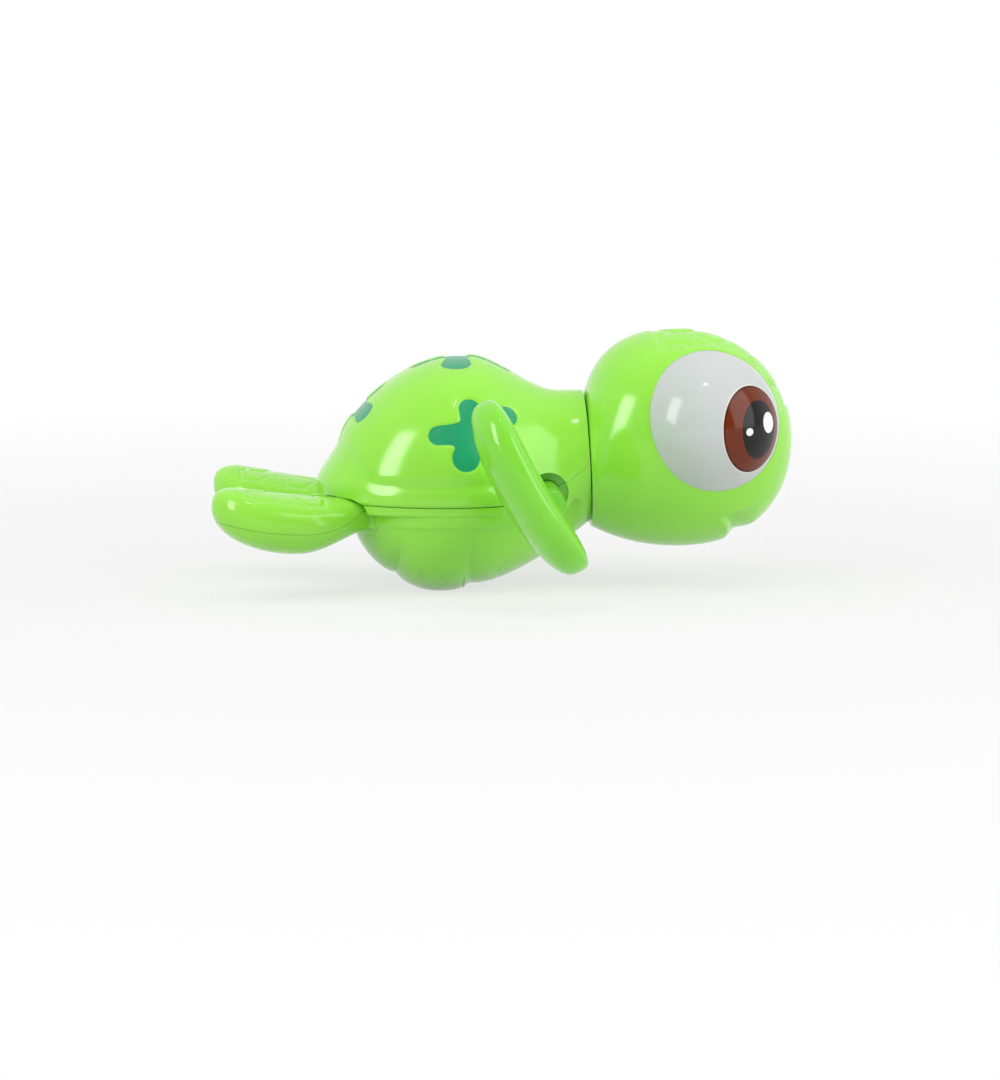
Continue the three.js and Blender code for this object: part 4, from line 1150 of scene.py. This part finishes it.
    def build_lower(self, fin_room: list[Solid], material: Material) -> None:
        """Makes the belly shell and the plugs that close its screw holes flush.

        Args:
            fin_room: The space that the rear flippers swing in.
            material: Its finish.
        """
        above_floor, above_table = (
            Solid.block((-FAR, -FAR, low), (FAR, FAR, FAR)) for low in (self.wall, 0.0)
        )
        hollow = Solid.lofted(self.bowl(self.wall, self.hollow_over, self.hollow_steps))
        core = Solid.lofted(self.bowl(self.wall / 2.0, -self.hairline, self.hollow_steps))
        whole = Solid.lofted(self.outer_bowl()).changed(Cut.JOIN, Solid.lofted(self.rim()))
        whole = whole.changed(Cut.KEEP, self.behind_neck(0.0), above_table)
        heads = self.columns(self.plug_radius + self.hairline, -FAR, self.screw_seat_z)
        bores = self.columns(self.screw_bore, 0.0, FAR) + heads
        shell = self.hollowed(whole, hollow.changed(Cut.KEEP, above_floor), core)
        shell = shell.changed(Cut.REMOVE, *self.openings(), *fin_room, *bores)
        Place("belly_shell", "body", "green_abs", ("lower_shell",)).show(shell, material)
        for number, post in enumerate(self.columns(self.plug_radius, -FAR, self.plug_top), 1):
            place = Place(f"belly_plug_{number}", "body", "green_abs", (f"screw_plug_{number}",))
            place.show(post.changed(Cut.KEEP, whole), material)


@dataclass(frozen=True)
class Ellipse:
    """A printed ellipse on an eye: where it looks, and its half width and half height in millimetres."""

    yaw_deg: float
    lift_deg: float
    wide: float
    high: float


@dataclass
class Head:
    """The round head in two halves, with eye domes, a mouth line and plates over its crown."""

    middle_x: float = 21.4
    middle_z: float = 3.2
    half_height: float = 24.2
    half_width: float = 22.5
    front: float = 24.5
    skull_back: float = 22.0
    skull_power: float = 2.6
    cheek_back: float = 27.0
    cheek_power: float = 2.2
    jaw_back: float = 33.0
    chin_power: float = 2.2
    neck_gap: float = 0.25
    rear_wall: float = 2.4
    wall: float = 2.0
    hairline: float = 0.06
    neck_bore: float = 8.2
    mouth_x: float = 31.9
    mouth_back: float = 2.9
    mouth_half_width: float = 15.0
    mouth_depth: float = 1.4
    mouth_reach: Span = (5.0, 6.5)
    chin_soft: Span = (2.6, 1.1)
    mouth_middle: Span = (5.0, 12.0)
    chin_edge: Span = (-1.0, 0.3)
    lip_z: float = -13.2
    lip_slope: float = 0.26
    lip_soft: float = 0.9
    plates: Scutes = Scutes(spacing=7.6, height=0.42, groove=2.2, seed=5)
    plate_half_width: float = 12.4
    plate_fade: float = 1.0
    plate_fade_deg: float = 2.5
    plate_sink: float = 0.2
    eye_margin: Span = (0.5, 1.6)
    plate_start_deg: float = -14.0
    plate_end_deg: float = 78.0
    eye: tuple[float, float, float] = (25.6, 10.4, 6.6)
    eye_radius: float = 16.6
    eye_wall: float = 1.8
    eye_arc_deg: float = 84.0
    eye_yaw_deg: float = 23.5
    eye_lift_deg: float = 16.5
    eye_pole: float = 0.002
    eye_steps: tuple[int, int, int] = (110, 30, 200)
    skin_steps: tuple[int, int] = (260, 360)
    hollow_steps: tuple[int, int] = (60, 80)
    iris: Ellipse = Ellipse(40.2, -1.0, 8.5, 9.45)
    pupil: Ellipse = Ellipse(43.8, -1.6, 5.35, 6.4)
    glints: tuple[Ellipse, ...] = (Ellipse(53.4, 2.75, 2.05, 2.3), Ellipse(31.5, -2.0, 0.95, 0.85))
    frame: Matrix = field(default_factory=lambda: Body().neck_frame())

    def section(self, x: Grid, inset: float) -> tuple[Grid, Grid, Grid]:
        """The head's outline at a distance from the neck: rounded ends of different reach and power.

        Args:
            x: Distances along the neck's axis.
            inset: How far inside the outer surface.

        Returns:
            Middle height, half height and half width.
        """
        t = x - self.middle_x
        nose = self.front - inset

        def share(back: float, back_power: float, front_power: float) -> Grid:
            """A rounded end behind the middle and another before it."""
            return np.where(t < 0.0, bulge(t / (back - inset), back_power), bulge(t / nose, front_power))

        top = self.middle_z + (self.half_height - inset) * share(self.skull_back, self.skull_power, 2.0)
        bottom = self.middle_z - (self.half_height - inset) * share(self.jaw_back, 2.0, self.chin_power)
        wide = (self.half_width - inset) * share(self.cheek_back, self.cheek_power, 2.0)
        return (top + bottom) / 2.0, np.maximum((top - bottom) / 2.0, SLIVER), np.maximum(wide, SLIVER)

    def rings(self, start: float, inset: float, steps: tuple[int, int]) -> Grid:
        """The head as elliptical rings from the nose back: y = width cos, z = middle + half sin.

        Args:
            start: Where the last ring stands, next to the neck.
            inset: How far inside the outer surface.
            steps: Steps along the axis and points round it.

        Returns:
            Rings of points.
        """
        x = crowded(self.middle_x + self.front - inset - SLIVER / 2.0, start, steps[0])[:, None]
        turn = full_turn(steps[1])[None]
        middle, half, width = self.section(x, inset)
        return points_at(x, width * np.cos(turn), middle + half * np.sin(turn))

    def mouth(self, rings: Grid) -> Grid:
        """How far the mouth is sunk at each point of the snout's underside.

        It drops at a chin edge that runs back with the cube of the way out to a corner, rounder in the
        middle. It fades forwards as a smooth step and ends at a lip edge that climbs to the front.

        Args:
            rings: Points of the head as (stations, around, 3).

        Returns:
            Millimetres below the skin.
        """
        x, y, z = np.moveaxis(rings, -1, 0)
        chin = self.mouth_x - self.mouth_back * (np.abs(y) / self.mouth_half_width) ** 3
        ahead = x - chin
        aside = ease(np.abs(y), *self.mouth_middle)
        reach, soft = mix(*self.mouth_reach, aside), mix(*self.chin_soft, aside)
        fade = (1.0 - ease(ahead / reach, *UNIT)) * ease(ahead / soft, *self.chin_edge)
        lip = self.lip_z + self.lip_slope * (x - self.mouth_x + self.mouth_back)
        return self.mouth_depth * fade * (1.0 - ease(z - lip, -self.lip_soft, 0.0))

    def outer(self) -> Grid:
        """The head's outside with its plates raised and its mouth sunk.

        The plates are laid out over the crown by the lean from the upright and the distance from the middle
        plane. Their patch fades at its edges and round the eyes.

        Returns:
            Rings of points.
        """
        rings = self.rings(self.neck_gap, 0.0, self.skin_steps)
        x, y, z = np.moveaxis(rings, -1, 0)
        up = z - self.middle_z
        lean = np.arctan2(x - self.middle_x, np.maximum(up, TINY))
        stand = self.plates.relief(lean * self.half_height, y)
        lean_deg = np.degrees(lean)
        start, end, fade = self.plate_start_deg, self.plate_end_deg, self.plate_fade_deg
        patch = ease(lean_deg, start, start + fade) * (1.0 - ease(lean_deg, end - fade, end)) * (up > 0.0)
        edge = self.plate_half_width
        patch = patch * (1.0 - ease(np.abs(y), edge - self.plate_fade, edge))
        for side in Side:
            gap = np.linalg.norm(rings - self.eye_centre(side), axis=-1) - self.eye_radius
            patch = patch * ease(gap, *self.eye_margin)
        sunk = (stand - self.plates.height - self.plate_sink) * patch
        return swollen(rings, sunk - self.mouth(rings), closed=True)

    def direction(self, side: Side, yaw_deg: float, lift_deg: float) -> Grid:
        """A direction in the neck's frame.

        Args:
            side: The side that it starts from.
            yaw_deg: Its turn forwards from the side.
            lift_deg: Its rise.

        Returns:
            A unit vector.
        """
        yaw, lift = math.radians(yaw_deg), math.radians(lift_deg)
        flat = math.cos(lift)
        return np.array([math.sin(yaw) * flat, side.value * math.cos(yaw) * flat, math.sin(lift)])

    def eye_centre(self, side: Side) -> Grid:
        """The middle of an eye's sphere in the neck's frame."""
        return np.array(self.eye) * np.array([1.0, side.value, 1.0])

    def build_shells(self, material: Material) -> None:
        """Makes the two halves of the head.

        Args:
            material: Their finish.
        """
        shell = Solid.lofted(self.outer())
        hollow = Solid.lofted(self.rings(self.neck_gap + self.rear_wall, self.wall, self.hollow_steps))
        bore = Solid.rod(np.array([-FAR, 0.0, 0.0]), np.array([self.middle_x, 0.0, 0.0]), self.neck_bore)
        sockets = [Solid.ball(self.eye_centre(side), self.eye_radius + self.hairline / 2.0) for side in Side]
        shell = shell.changed(Cut.REMOVE, hollow, bore, *sockets)
        for side in Side:
            ends = sorted((side.value * self.hairline / 2.0, side.value * FAR))
            half = shell.changed(Cut.KEEP, Solid.block((-FAR, ends[0], -FAR), (FAR, ends[1], FAR)))
            place = Place(f"head_shell_{side.label}", "head", "green_abs", (f"head_{side.label}",))
            place.show(largest(half).moved(self.frame), material)

    def print_distance(self, ray: Grid, side: Side, shape: Ellipse) -> Grid:
        """Distance of points on an eye to the edge of a printed ellipse, negative inside.

        With a and b the distances from its middle across and up, it is (hypot(a / wide, b / high) - 1) times
        the shorter half.

        Args:
            ray: Unit vectors from the middle of the eye, as (count, 3).
            side: Which eye.
            shape: The ellipse.

        Returns:
            Millimetres from the edge.
        """
        middle = self.direction(side, shape.yaw_deg, shape.lift_deg)
        across = self.direction(side, shape.yaw_deg + 90.0, 0.0)
        a, b = ((ray - middle) @ axis * self.eye_radius for axis in (across, np.array([0.0, 0.0, 1.0])))
        spread = (np.hypot(a / shape.wide, b / shape.high) - 1.0) * min(shape.wide, shape.high)
        return np.where(ray @ middle > 0.0, spread, FAR)

    def build_eye(self, side: Side, material: Material) -> None:
        """Makes an eye dome: a cap of a sphere with a wall, and the distances that its print reads.

        Args:
            side: Which eye.
            material: Its finish.
        """
        arc = math.radians(self.eye_arc_deg)
        outer = np.linspace(self.eye_pole, arc, self.eye_steps[0])
        inner = np.linspace(arc, self.eye_pole, self.eye_steps[1])
        inside = self.eye_radius - self.eye_wall
        radius = np.concatenate([self.eye_radius * np.sin(outer), inside * np.sin(inner)])[:, None]
        depth = [self.eye_radius * np.cos(outer), inside * np.cos(inner) + self.eye_wall * math.cos(arc)]
        turn = full_turn(self.eye_steps[2])[None]
        rings = points_at(radius * np.cos(turn), radius * np.sin(turn), np.concatenate(depth)[:, None])
        axis = self.direction(side, self.eye_yaw_deg, self.eye_lift_deg)
        aim = Vector((0.0, 0.0, 1.0)).rotation_difference(Vector(axis)).to_matrix().to_4x4()
        dome = Solid.lofted(rings).moved(Matrix.Translation(Vector(self.eye_centre(side))) @ aim)
        ray = dome.points() - self.eye_centre(side)
        ray /= np.linalg.norm(ray, axis=1, keepdims=True)
        dome.note("iris_distance", self.print_distance(ray, side, self.iris))
        dome.note("pupil_distance", self.print_distance(ray, side, self.pupil))
        glints = [self.print_distance(ray, side, glint) for glint in self.glints]
        dome.note("glint_distance", np.minimum(*glints))
        place = Place(f"eye_dome_{side.label}", "head", "white_abs", (f"eye_{side.label}",))
        place.show(dome.moved(self.frame), material)


def largest(solid: Solid) -> Solid:
    """The connected piece of a solid with the most points.

    Args:
        solid: The solid, which is changed.

    Returns:
        The same solid with only that piece left.
    """
    shape = bmesh.new()
    shape.from_mesh(solid.mesh)
    left, islands = set(shape.verts), []
    while left:
        front = [left.pop()]
        island = set(front)
        while front:
            linked = {edge.other_vert(vert) for vert in front for edge in vert.link_edges} - island
            island |= linked
            front = list(linked)
        left -= island
        islands.append(island)
    keep = max(islands, key=len)
    bmesh.ops.delete(shape, geom=[vert for vert in shape.verts if vert not in keep], context="VERTS")
    shape.to_mesh(solid.mesh)
    shape.free()
    return solid


@dataclass
class RearFlipper:
    """A rear flipper: a banana-shaped pair of halves on an upright pin, with plates along its back."""

    splay_deg: float = 17.0
    swing_deg: float = 12.0
    length: float = 36.9
    root_half: float = 3.9
    root_end: float = 2.5
    half_width: float = 9.5
    full: float = 18.0
    widest: float = 24.0
    root_top: float = 20.4
    tip_top: float = 24.6
    tip_z: float = 20.5
    tip_round: float = 5.0
    tip_power: float = 2.6
    root_low: float = 14.6
    low: float = 9.8
    low_at: float = 18.0
    knuckle: float = 4.1
    knuckle_low: float = 14.8
    knuckle_top: float = 21.4
    pin: float = 1.5
    pin_length: float = 2.0
    clear: float = 0.1
    hairline: float = 0.06
    parting_z: float = 14.9
    parting_u: float = 17.0
    parting_rise: float = 7.5
    parting_top: float = 18.8
    parting_lift: float = 0.0068
    fullness: float = 0.85
    skin_steps: tuple[int, int] = (170, 180)
    room_steps: tuple[int, int] = (40, 60)
    line_points: int = 481
    plate_up: Span = (0.6, 0.8)
    plate_start: Span = (8.0, 12.0)
    plate_end: Span = (29.5, 31.5)
    plates: Scutes = Scutes(spacing=5.4, height=0.4, groove=1.3, seed=11)

    def width(self, u: Grid, grow: float) -> Grid:
        """Half width: a quarter sine from the root to the full width, which runs on to an elliptical tip.

        Args:
            u: Distances from the pin along the flipper.
            grow: How far outside the surface.

        Returns:
            Millimetres from the flipper's middle.
        """
        share = np.clip((u - self.root_end) / (self.full - self.root_end), 0.0, 1.0)
        root = mix(self.root_half, self.half_width, np.sin(share * np.pi / 2.0)) + grow
        reach = self.length + grow - self.widest
        tip = (self.half_width + grow) * bulge((u - self.widest) / reach, 2.0)
        return np.where(u < self.widest, root, tip)

    def top(self, u: Grid, grow: float) -> Grid:
        """Height of the upper face: a straight climb with a blunt, rounded end.

        Args:
            u: Distances from the pin along the flipper.
            grow: How far outside the surface.

        Returns:
            Millimetres over the table.
        """
        start = self.length - self.tip_round
        line = mix(self.root_top, self.tip_top, u / start) + grow
        share = bulge((u - start) / (self.tip_round + grow), self.tip_power)
        return np.where(u < start, line, self.tip_z + (self.tip_top + grow - self.tip_z) * share)

    def under(self, u: Grid, grow: float) -> Grid:
        """Height of the lower face: a smooth step down, then a long elliptical sweep up to the tip.

        Args:
            u: Distances from the pin along the flipper.
            grow: How far outside the surface.

        Returns:
            Millimetres over the table.
        """
        root = mix(self.root_low, self.low, ease(u, 0.0, self.low_at)) - grow
        share = (u - self.low_at) / (self.length + grow - self.low_at)
        sweep = self.tip_z - (self.tip_z - self.low + grow) * bulge(share, 2.0)
        return np.where(u < self.low_at, root, sweep)

    def rings(self, end: float, grow: float, steps: tuple[int, int]) -> Grid:
        """Superellipse rings along the flipper from its pin, closer together towards the end.

        Args:
            end: Where the last ring stands.
            grow: How far outside the surface.
            steps: Steps along the flipper and points round it.

        Returns:
            Rings of points.
        """
        u = end * np.sin(np.linspace(0.0, np.pi / 2.0, steps[0] + 1))[:, None]
        turn = full_turn(steps[1])[None]
        across, up = rounded_pair(turn, self.fullness)
        top, under = self.top(u, grow), self.under(u, grow)
        half = np.maximum((top - under) / 2.0, SLIVER)
        width = np.maximum(self.width(u, grow), SLIVER)
        return points_at(u, width * across, (top + under) / 2.0 + half * up)

    def place(self, side: Side, swing_deg: float = 0.0) -> Matrix:
        """Where the flipper sits: its length turned to the rear and splayed, about the joint's own pin.

        Args:
            side: Which flipper.
            swing_deg: How far it is swung from rest.

        Returns:
            The matrix that places it.
        """
        pivot = joint_point(f"rear_{side.label}_swing")
        angle = math.pi - side.value * math.radians(self.splay_deg + swing_deg)
        return Matrix.Translation(Vector((pivot[0], pivot[1], 0.0))) @ Matrix.Rotation(angle, 4, "Z")

    def post(self, radius: float, low: float, high: float) -> Solid:
        """An upright bar on the pin's axis."""
        return Solid.rod(np.array([0.0, 0.0, low]), np.array([0.0, 0.0, high]), radius)

    def room(self) -> list[Solid]:
        """The space that both flippers sweep at their roots, at each end of their swing and between.

        Returns:
            The solids to cut with.
        """
        gap = self.clear
        sweep = Solid.lofted(self.rings(self.widest, gap, self.room_steps))
        knuckle = self.post(self.knuckle + gap, self.knuckle_low - gap, self.knuckle_top + gap)
        sweep = sweep.changed(Cut.JOIN, knuckle)
        swings = (-self.swing_deg, 0.0, self.swing_deg)
        return [sweep.moved(self.place(side, swing)) for side in Side for swing in swings]

    def beyond_parting(self, sense: float) -> Solid:
        """Everything above the parting line, or below it where sense is -1.

        The line is lowest at parting_u. It climbs to the root with the square of the share of the way, up to
        a level top, and to the tip as a slower parabola.

        Args:
            sense: 1 for the upper side, -1 for the lower.

        Returns:
            A block with the line's curve on one face.
        """
        u = np.linspace(-FAR, FAR, self.line_points)
        root = self.parting_rise * np.maximum(0.0, 1.0 - u / self.parting_u) ** 2
        tip = self.parting_lift * np.maximum(0.0, u - self.parting_u) ** 2
        line = np.minimum(self.parting_z + root + tip, self.parting_top) + sense * self.hairline / 2.0
        far = np.full_like(u, sense * FAR)
        corners = [(-FAR, line), (FAR, line), (FAR, far), (-FAR, far)]
        return Solid.lofted(np.stack([points_at(u, v, z) for v, z in corners], axis=1))

    def build(self, side: Side, material: Material) -> None:
        """Makes the flipper's two halves.

        Args:
            side: Which flipper.
            material: Its finish.
        """
        rings = self.rings(self.length - SLIVER, 0.0, self.skin_steps)
        u, v, z = np.moveaxis(rings, -1, 0)
        top = self.top(u, 0.0)
        middle = (top + self.under(u, 0.0)) / 2.0
        upness = (z - middle) / np.maximum(top - middle, SLIVER)
        patch = ease(upness, *self.plate_up) * ease(u, *self.plate_start) * (1.0 - ease(u, *self.plate_end))
        sunk = (self.plates.relief(u, v) - self.plates.height) * patch
        whole = Solid.lofted(swollen(rings, sunk, closed=True))
        knuckle = self.post(self.knuckle, self.knuckle_low, self.knuckle_top)
        pin = self.post(self.pin, self.knuckle_low - self.pin_length, self.knuckle_top + self.pin_length)
        whole = whole.changed(Cut.JOIN, knuckle, pin)
        for part, sense in (("top", 1.0), ("base", -1.0)):
            half = whole.changed(Cut.KEEP, self.beyond_parting(sense))
            node = f"rear_flipper_{side.label}_{part}"
            place = Place(f"{node}_moulding", f"rear_{side.label}", "green_abs", (node,))
            place.show(half.moved(self.place(side)), material)


@dataclass
class FrontFlipper:
    """A front flipper: a thick rounded blade on a boss, pushed on the end of the cross axle."""

    inner_y: float = 29.1
    span: float = 27.0
    lead: float = 14.75
    trail: float = 27.6
    rake: float = 0.1
    span_power: float = 2.2
    half_thickness: float = 5.0
    power: float = 3.1
    set_back: float = 2.3
    belly: float = 2.1
    fullness: float = 0.8
    ridge: float = 1.6
    pitch_deg: float = 60.1
    boss: float = 2.6
    boss_grip: float = 8.0
    axle_hole: float = 1.7
    axle_grip: float = 5.0
    boss_start: float = 13.8
    hole_start: float = -1.0
    steps: tuple[int, int] = (120, 160)

    def blade(self) -> Grid:
        """The blade as rounded rings along its chord, from the trailing to the leading edge.

        With t from -1 to 1 along the chord, a ring is half span times bulge(t) wide and half thickness times
        bulge(t) thick. Its middle sits back by set_back, and by belly (1 - t^2) more. The outer end leans
        forwards with the square of the way out, so that its ridge lies off the middle.

        Returns:
            Rings of points.
        """
        half = (self.lead + self.trail) / 2.0
        t = -np.cos(np.linspace(0.0, np.pi, self.steps[0] + 1))[:, None] * (1.0 - SLIVER / half)
        across, up = rounded_pair(full_turn(self.steps[1])[None], self.fullness)
        thick = bulge(t, self.power)
        x = (self.lead - self.trail) / 2.0 + half * t
        y = self.inner_y + self.span / 2.0 * (1.0 + bulge(t, self.span_power) * across) - self.rake * half * t
        z = self.half_thickness * thick * up - self.set_back - self.belly * (1.0 - t * t)
        z = z + self.ridge * np.maximum(across, 0.0) ** 2 * thick
        return points_at(x, y, z)

    def build(self, side: Side, material: Material) -> None:
        """Makes the flipper on one side, pitched about the axle.

        Args:
            side: Which flipper.
            material: Its finish.
        """
        out = np.array([0.0, 1.0, 0.0])
        boss = Solid.rod(self.boss_start * out, (self.inner_y + self.boss_grip) * out, self.boss)
        hole = Solid.rod(self.hole_start * out, (self.inner_y + self.axle_grip) * out, self.axle_hole)
        blade = Solid.lofted(self.blade()).changed(Cut.JOIN, boss).changed(Cut.REMOVE, hole)
        if side is Side.RIGHT:
            blade = blade.moved(Matrix.Diagonal((1.0, -1.0, 1.0, 1.0)))
            blade.mesh.flip_normals()
        pitch = Matrix.Rotation(math.radians(self.pitch_deg), 4, "Y")
        placed = blade.moved(Matrix.Translation(Vector(joint_point("paddle_spin"))) @ pitch)
        node = f"front_flipper_{side.label}"
        Place(f"{node}_moulding", "paddles", "green_abs", (node,)).show(placed, material)


@dataclass(frozen=True)
class Lamp:
    """A rectangular soft lamp: its place and size in metres, its watts and which of its light counts."""

    name: str
    place: tuple[float, float, float]
    size: Span
    watts: float
    reach: Reach = Reach.ALL

    def build(self, target: Vector) -> None:
        """Makes the lamp, turned to look at a target.

        Args:
            target: Where it looks, in metres.
        """
        data = bpy.data.lights.new(self.name, "AREA")
        data.shape = "RECTANGLE"
        data.size, data.size_y = self.size
        data.energy = self.watts
        holder = put_in_scene(self.name, data)
        holder.visible_glossy = self.reach is not Reach.SOFT
        holder.visible_diffuse = self.reach is not Reach.MIRROR
        place = Vector(self.place)
        look = (target - place).to_track_quat("-Z", "Y").to_matrix().to_4x4()
        holder.matrix_world = Matrix.Translation(place) @ look


@dataclass
class Studio:
    """A pale floor, soft lamps, a white world and a camera at the photograph's angle."""

    elevation_deg: float = 7.4
    azimuth_deg: float = -3.0
    focal_px: float = 4500.0
    px_per_mm: float = 4.5
    image_px: tuple[int, int] = (1000, 1080)
    origin_px: Span = (455.0, 585.0)
    sensor_mm: float = 36.0
    floor_m: float = 8.0
    clip_m: Span = (0.05, 40.0)
    lamp_target: tuple[float, float, float] = (0.01, 0.0, 0.03)
    white: str = "#ffffff"
    paper: str = "#dedede"
    world_strength: float = 0.45
    room_strength: float = 0.3
    room_y: Span = (-0.4, 0.2)
    white_from_m: Span = (0.12, 0.4)
    white_share: Span = (0.7, 1.0)
    lamps: tuple[Lamp, ...] = (
        Lamp("key_left", (-0.75, -0.54, 0.43), (0.3, 0.7), 5.2, Reach.MIRROR),
        Lamp("key_soft", (-0.7, -0.55, 0.6), (1.0, 1.0), 5.8, Reach.SOFT),
        Lamp("top", (0.05, -0.1, 0.95), (1.2, 1.0), 2.8, Reach.SOFT),
        Lamp("fill_right", (0.84, -0.47, 0.42), (0.66, 0.85), 4.0, Reach.MIRROR),
        Lamp("fill_soft", (0.85, -0.42, 0.35), (0.7, 0.9), 5.2, Reach.SOFT),
        Lamp("ceiling", (0.05, -0.42, 1.15), (0.09, 0.05), 0.6),
    )

    def axes(self) -> tuple[Vector, Vector, Vector]:
        """How the camera is turned.

        Returns:
            Its right, up and back directions.
        """
        a, e = math.radians(self.azimuth_deg), math.radians(self.elevation_deg)
        back = Vector((math.sin(a) * math.cos(e), -math.cos(a) * math.cos(e), math.sin(e)))
        right = Vector((math.cos(a), math.sin(a), 0.0))
        return right, back.cross(right), back

    def camera(self) -> None:
        """Puts the camera where the frame's origin falls on its pixel of the photograph, at its scale."""
        right, up, back = self.axes()
        data = bpy.data.cameras.new("camera")
        data.sensor_width = self.sensor_mm
        data.lens = self.sensor_mm * self.focal_px / max(self.image_px)
        data.clip_start, data.clip_end = self.clip_m
        holder = put_in_scene("camera", data)
        aside = (self.image_px[0] / 2.0 - self.origin_px[0]) / self.px_per_mm
        above = (self.origin_px[1] - self.image_px[1] / 2.0) / self.px_per_mm
        place = (right * aside + up * above + back * (self.focal_px / self.px_per_mm)) * MM
        holder.matrix_world = Matrix.Translation(place) @ Matrix((right, up, back)).transposed().to_4x4()
        bpy.context.scene.camera = holder

    def white_where_seen(self, tree: Tree) -> Socket:
        """1 for rays from the camera, mirror rays and rays through glass, else 0.

        Args:
            tree: Node tree that gets it.

        Returns:
            The number.
        """
        path = add_node(tree, "ShaderNodeLightPath").outputs
        seen = path["Is Camera Ray"]
        for other in ("Is Glossy Ray", "Is Transmission Ray"):
            seen = combined(tree, "MAXIMUM", seen, path[other])
        return seen

    def world(self) -> None:
        """A white world that looks plain white, lights the toy gently and mirrors a darker room in front."""
        world = bpy.data.worlds.new("studio")
        world.use_nodes = True
        tree = world.node_tree
        tree.nodes.clear()
        depth = add_node(tree, "ShaderNodeSeparateXYZ", {"Vector": object_place(tree)}).outputs["Y"]
        mirrored = ranged(tree, depth, self.room_y, (self.room_strength, 1.0))
        glossy = add_node(tree, "ShaderNodeLightPath").outputs["Is Glossy Ray"]
        shown = ranged(tree, glossy, UNIT, (1.0, mirrored))
        strength = ranged(tree, self.white_where_seen(tree), UNIT, (self.world_strength, shown))
        glow = add_node(tree, "ShaderNodeBackground", {"Color": linear(self.white), "Strength": strength})
        add_node(tree, "ShaderNodeOutputWorld", {"Surface": glow.outputs["Background"]})
        bpy.context.scene.world = world

    def floor(self) -> None:
        """A pale floor under the belly that fades to white where it is seen, with the soft shadow kept."""
        half = self.floor_m / 2.0
        corners = [(x * half, y * half, 0.0) for x, y in ((-1, -1), (1, -1), (1, 1), (-1, 1))]
        mesh = bpy.data.meshes.new("floor")
        mesh.from_pydata(corners, [], [(0, 1, 2, 3)])
        plane = put_in_scene("floor", mesh)
        material, tree = new_tree("studio_floor")
        paper = add_node(tree, "ShaderNodeBsdfDiffuse", {"Color": linear(self.paper)})
        white = add_node(tree, "ShaderNodeEmission", {"Color": linear(self.white), "Strength": 1.0})
        away = add_node(tree, "ShaderNodeVectorMath", {0: object_place(tree)}, operation="LENGTH")
        fading = ranged(tree, away.outputs["Value"], self.white_from_m, self.white_share)
        seen = combined(tree, "MULTIPLY", self.white_where_seen(tree), fading)
        parts = {0: seen, 1: paper.outputs["BSDF"], 2: white.outputs["Emission"]}
        both = add_node(tree, "ShaderNodeMixShader", parts)
        add_node(tree, "ShaderNodeOutputMaterial", {"Surface": both.outputs["Shader"]})
        mesh.materials.append(material)

    def build(self) -> None:
        """Sets up the whole studio."""
        bpy.context.scene.view_settings.view_transform = "Standard"
        self.camera()
        self.world()
        self.floor()
        for lamp in self.lamps:
            lamp.build(Vector(self.lamp_target))


def dress_nodes() -> None:
    """Gives every CAD node that still shows the material of its slot."""
    finishes = {"acetal": ACETAL, "grey_abs": GREY_ABS, "steel": STEEL, "spring_steel": SPRING_STEEL}
    finishes |= {"brass": BRASS, "seal_rubber": NITRILE}
    made = {slot: finish.material() for slot, finish in finishes.items()}
    slots = {part["node"]: part["material_slot"] for part in frame["record"]["subparts"]}
    for name, node in frame["nodes"].items():
        if not node.hide_render:
            node.data.materials.clear()
            node.data.materials.append(made[slots[name]])
            LOG.info("%s: %s", name, slots[name])


def main() -> None:
    """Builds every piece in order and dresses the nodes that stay."""
    logging.basicConfig(level=logging.INFO, format="%(name)s %(message)s")
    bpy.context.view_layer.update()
    Studio().build()
    green, lime, spotted = SHADED_LIME_ABS.material(), LIME_ABS.material(), SPOTTED_ABS.material()
    printed = EYE_ABS.material()
    rear = RearFlipper()
    body = Body()
    body.build_upper(rear.room(), spotted)
    body.build_lower(rear.room(), lime)
    head = Head()
    head.build_shells(lime)
    for side in Side:
        head.build_eye(side, printed)
        rear.build(side, lime)
        # The front flippers get the darker copy of the lime ABS, a painted shade
        FrontFlipper().build(side, green)
    dress_nodes()


if __name__ == "__main__":
    main()
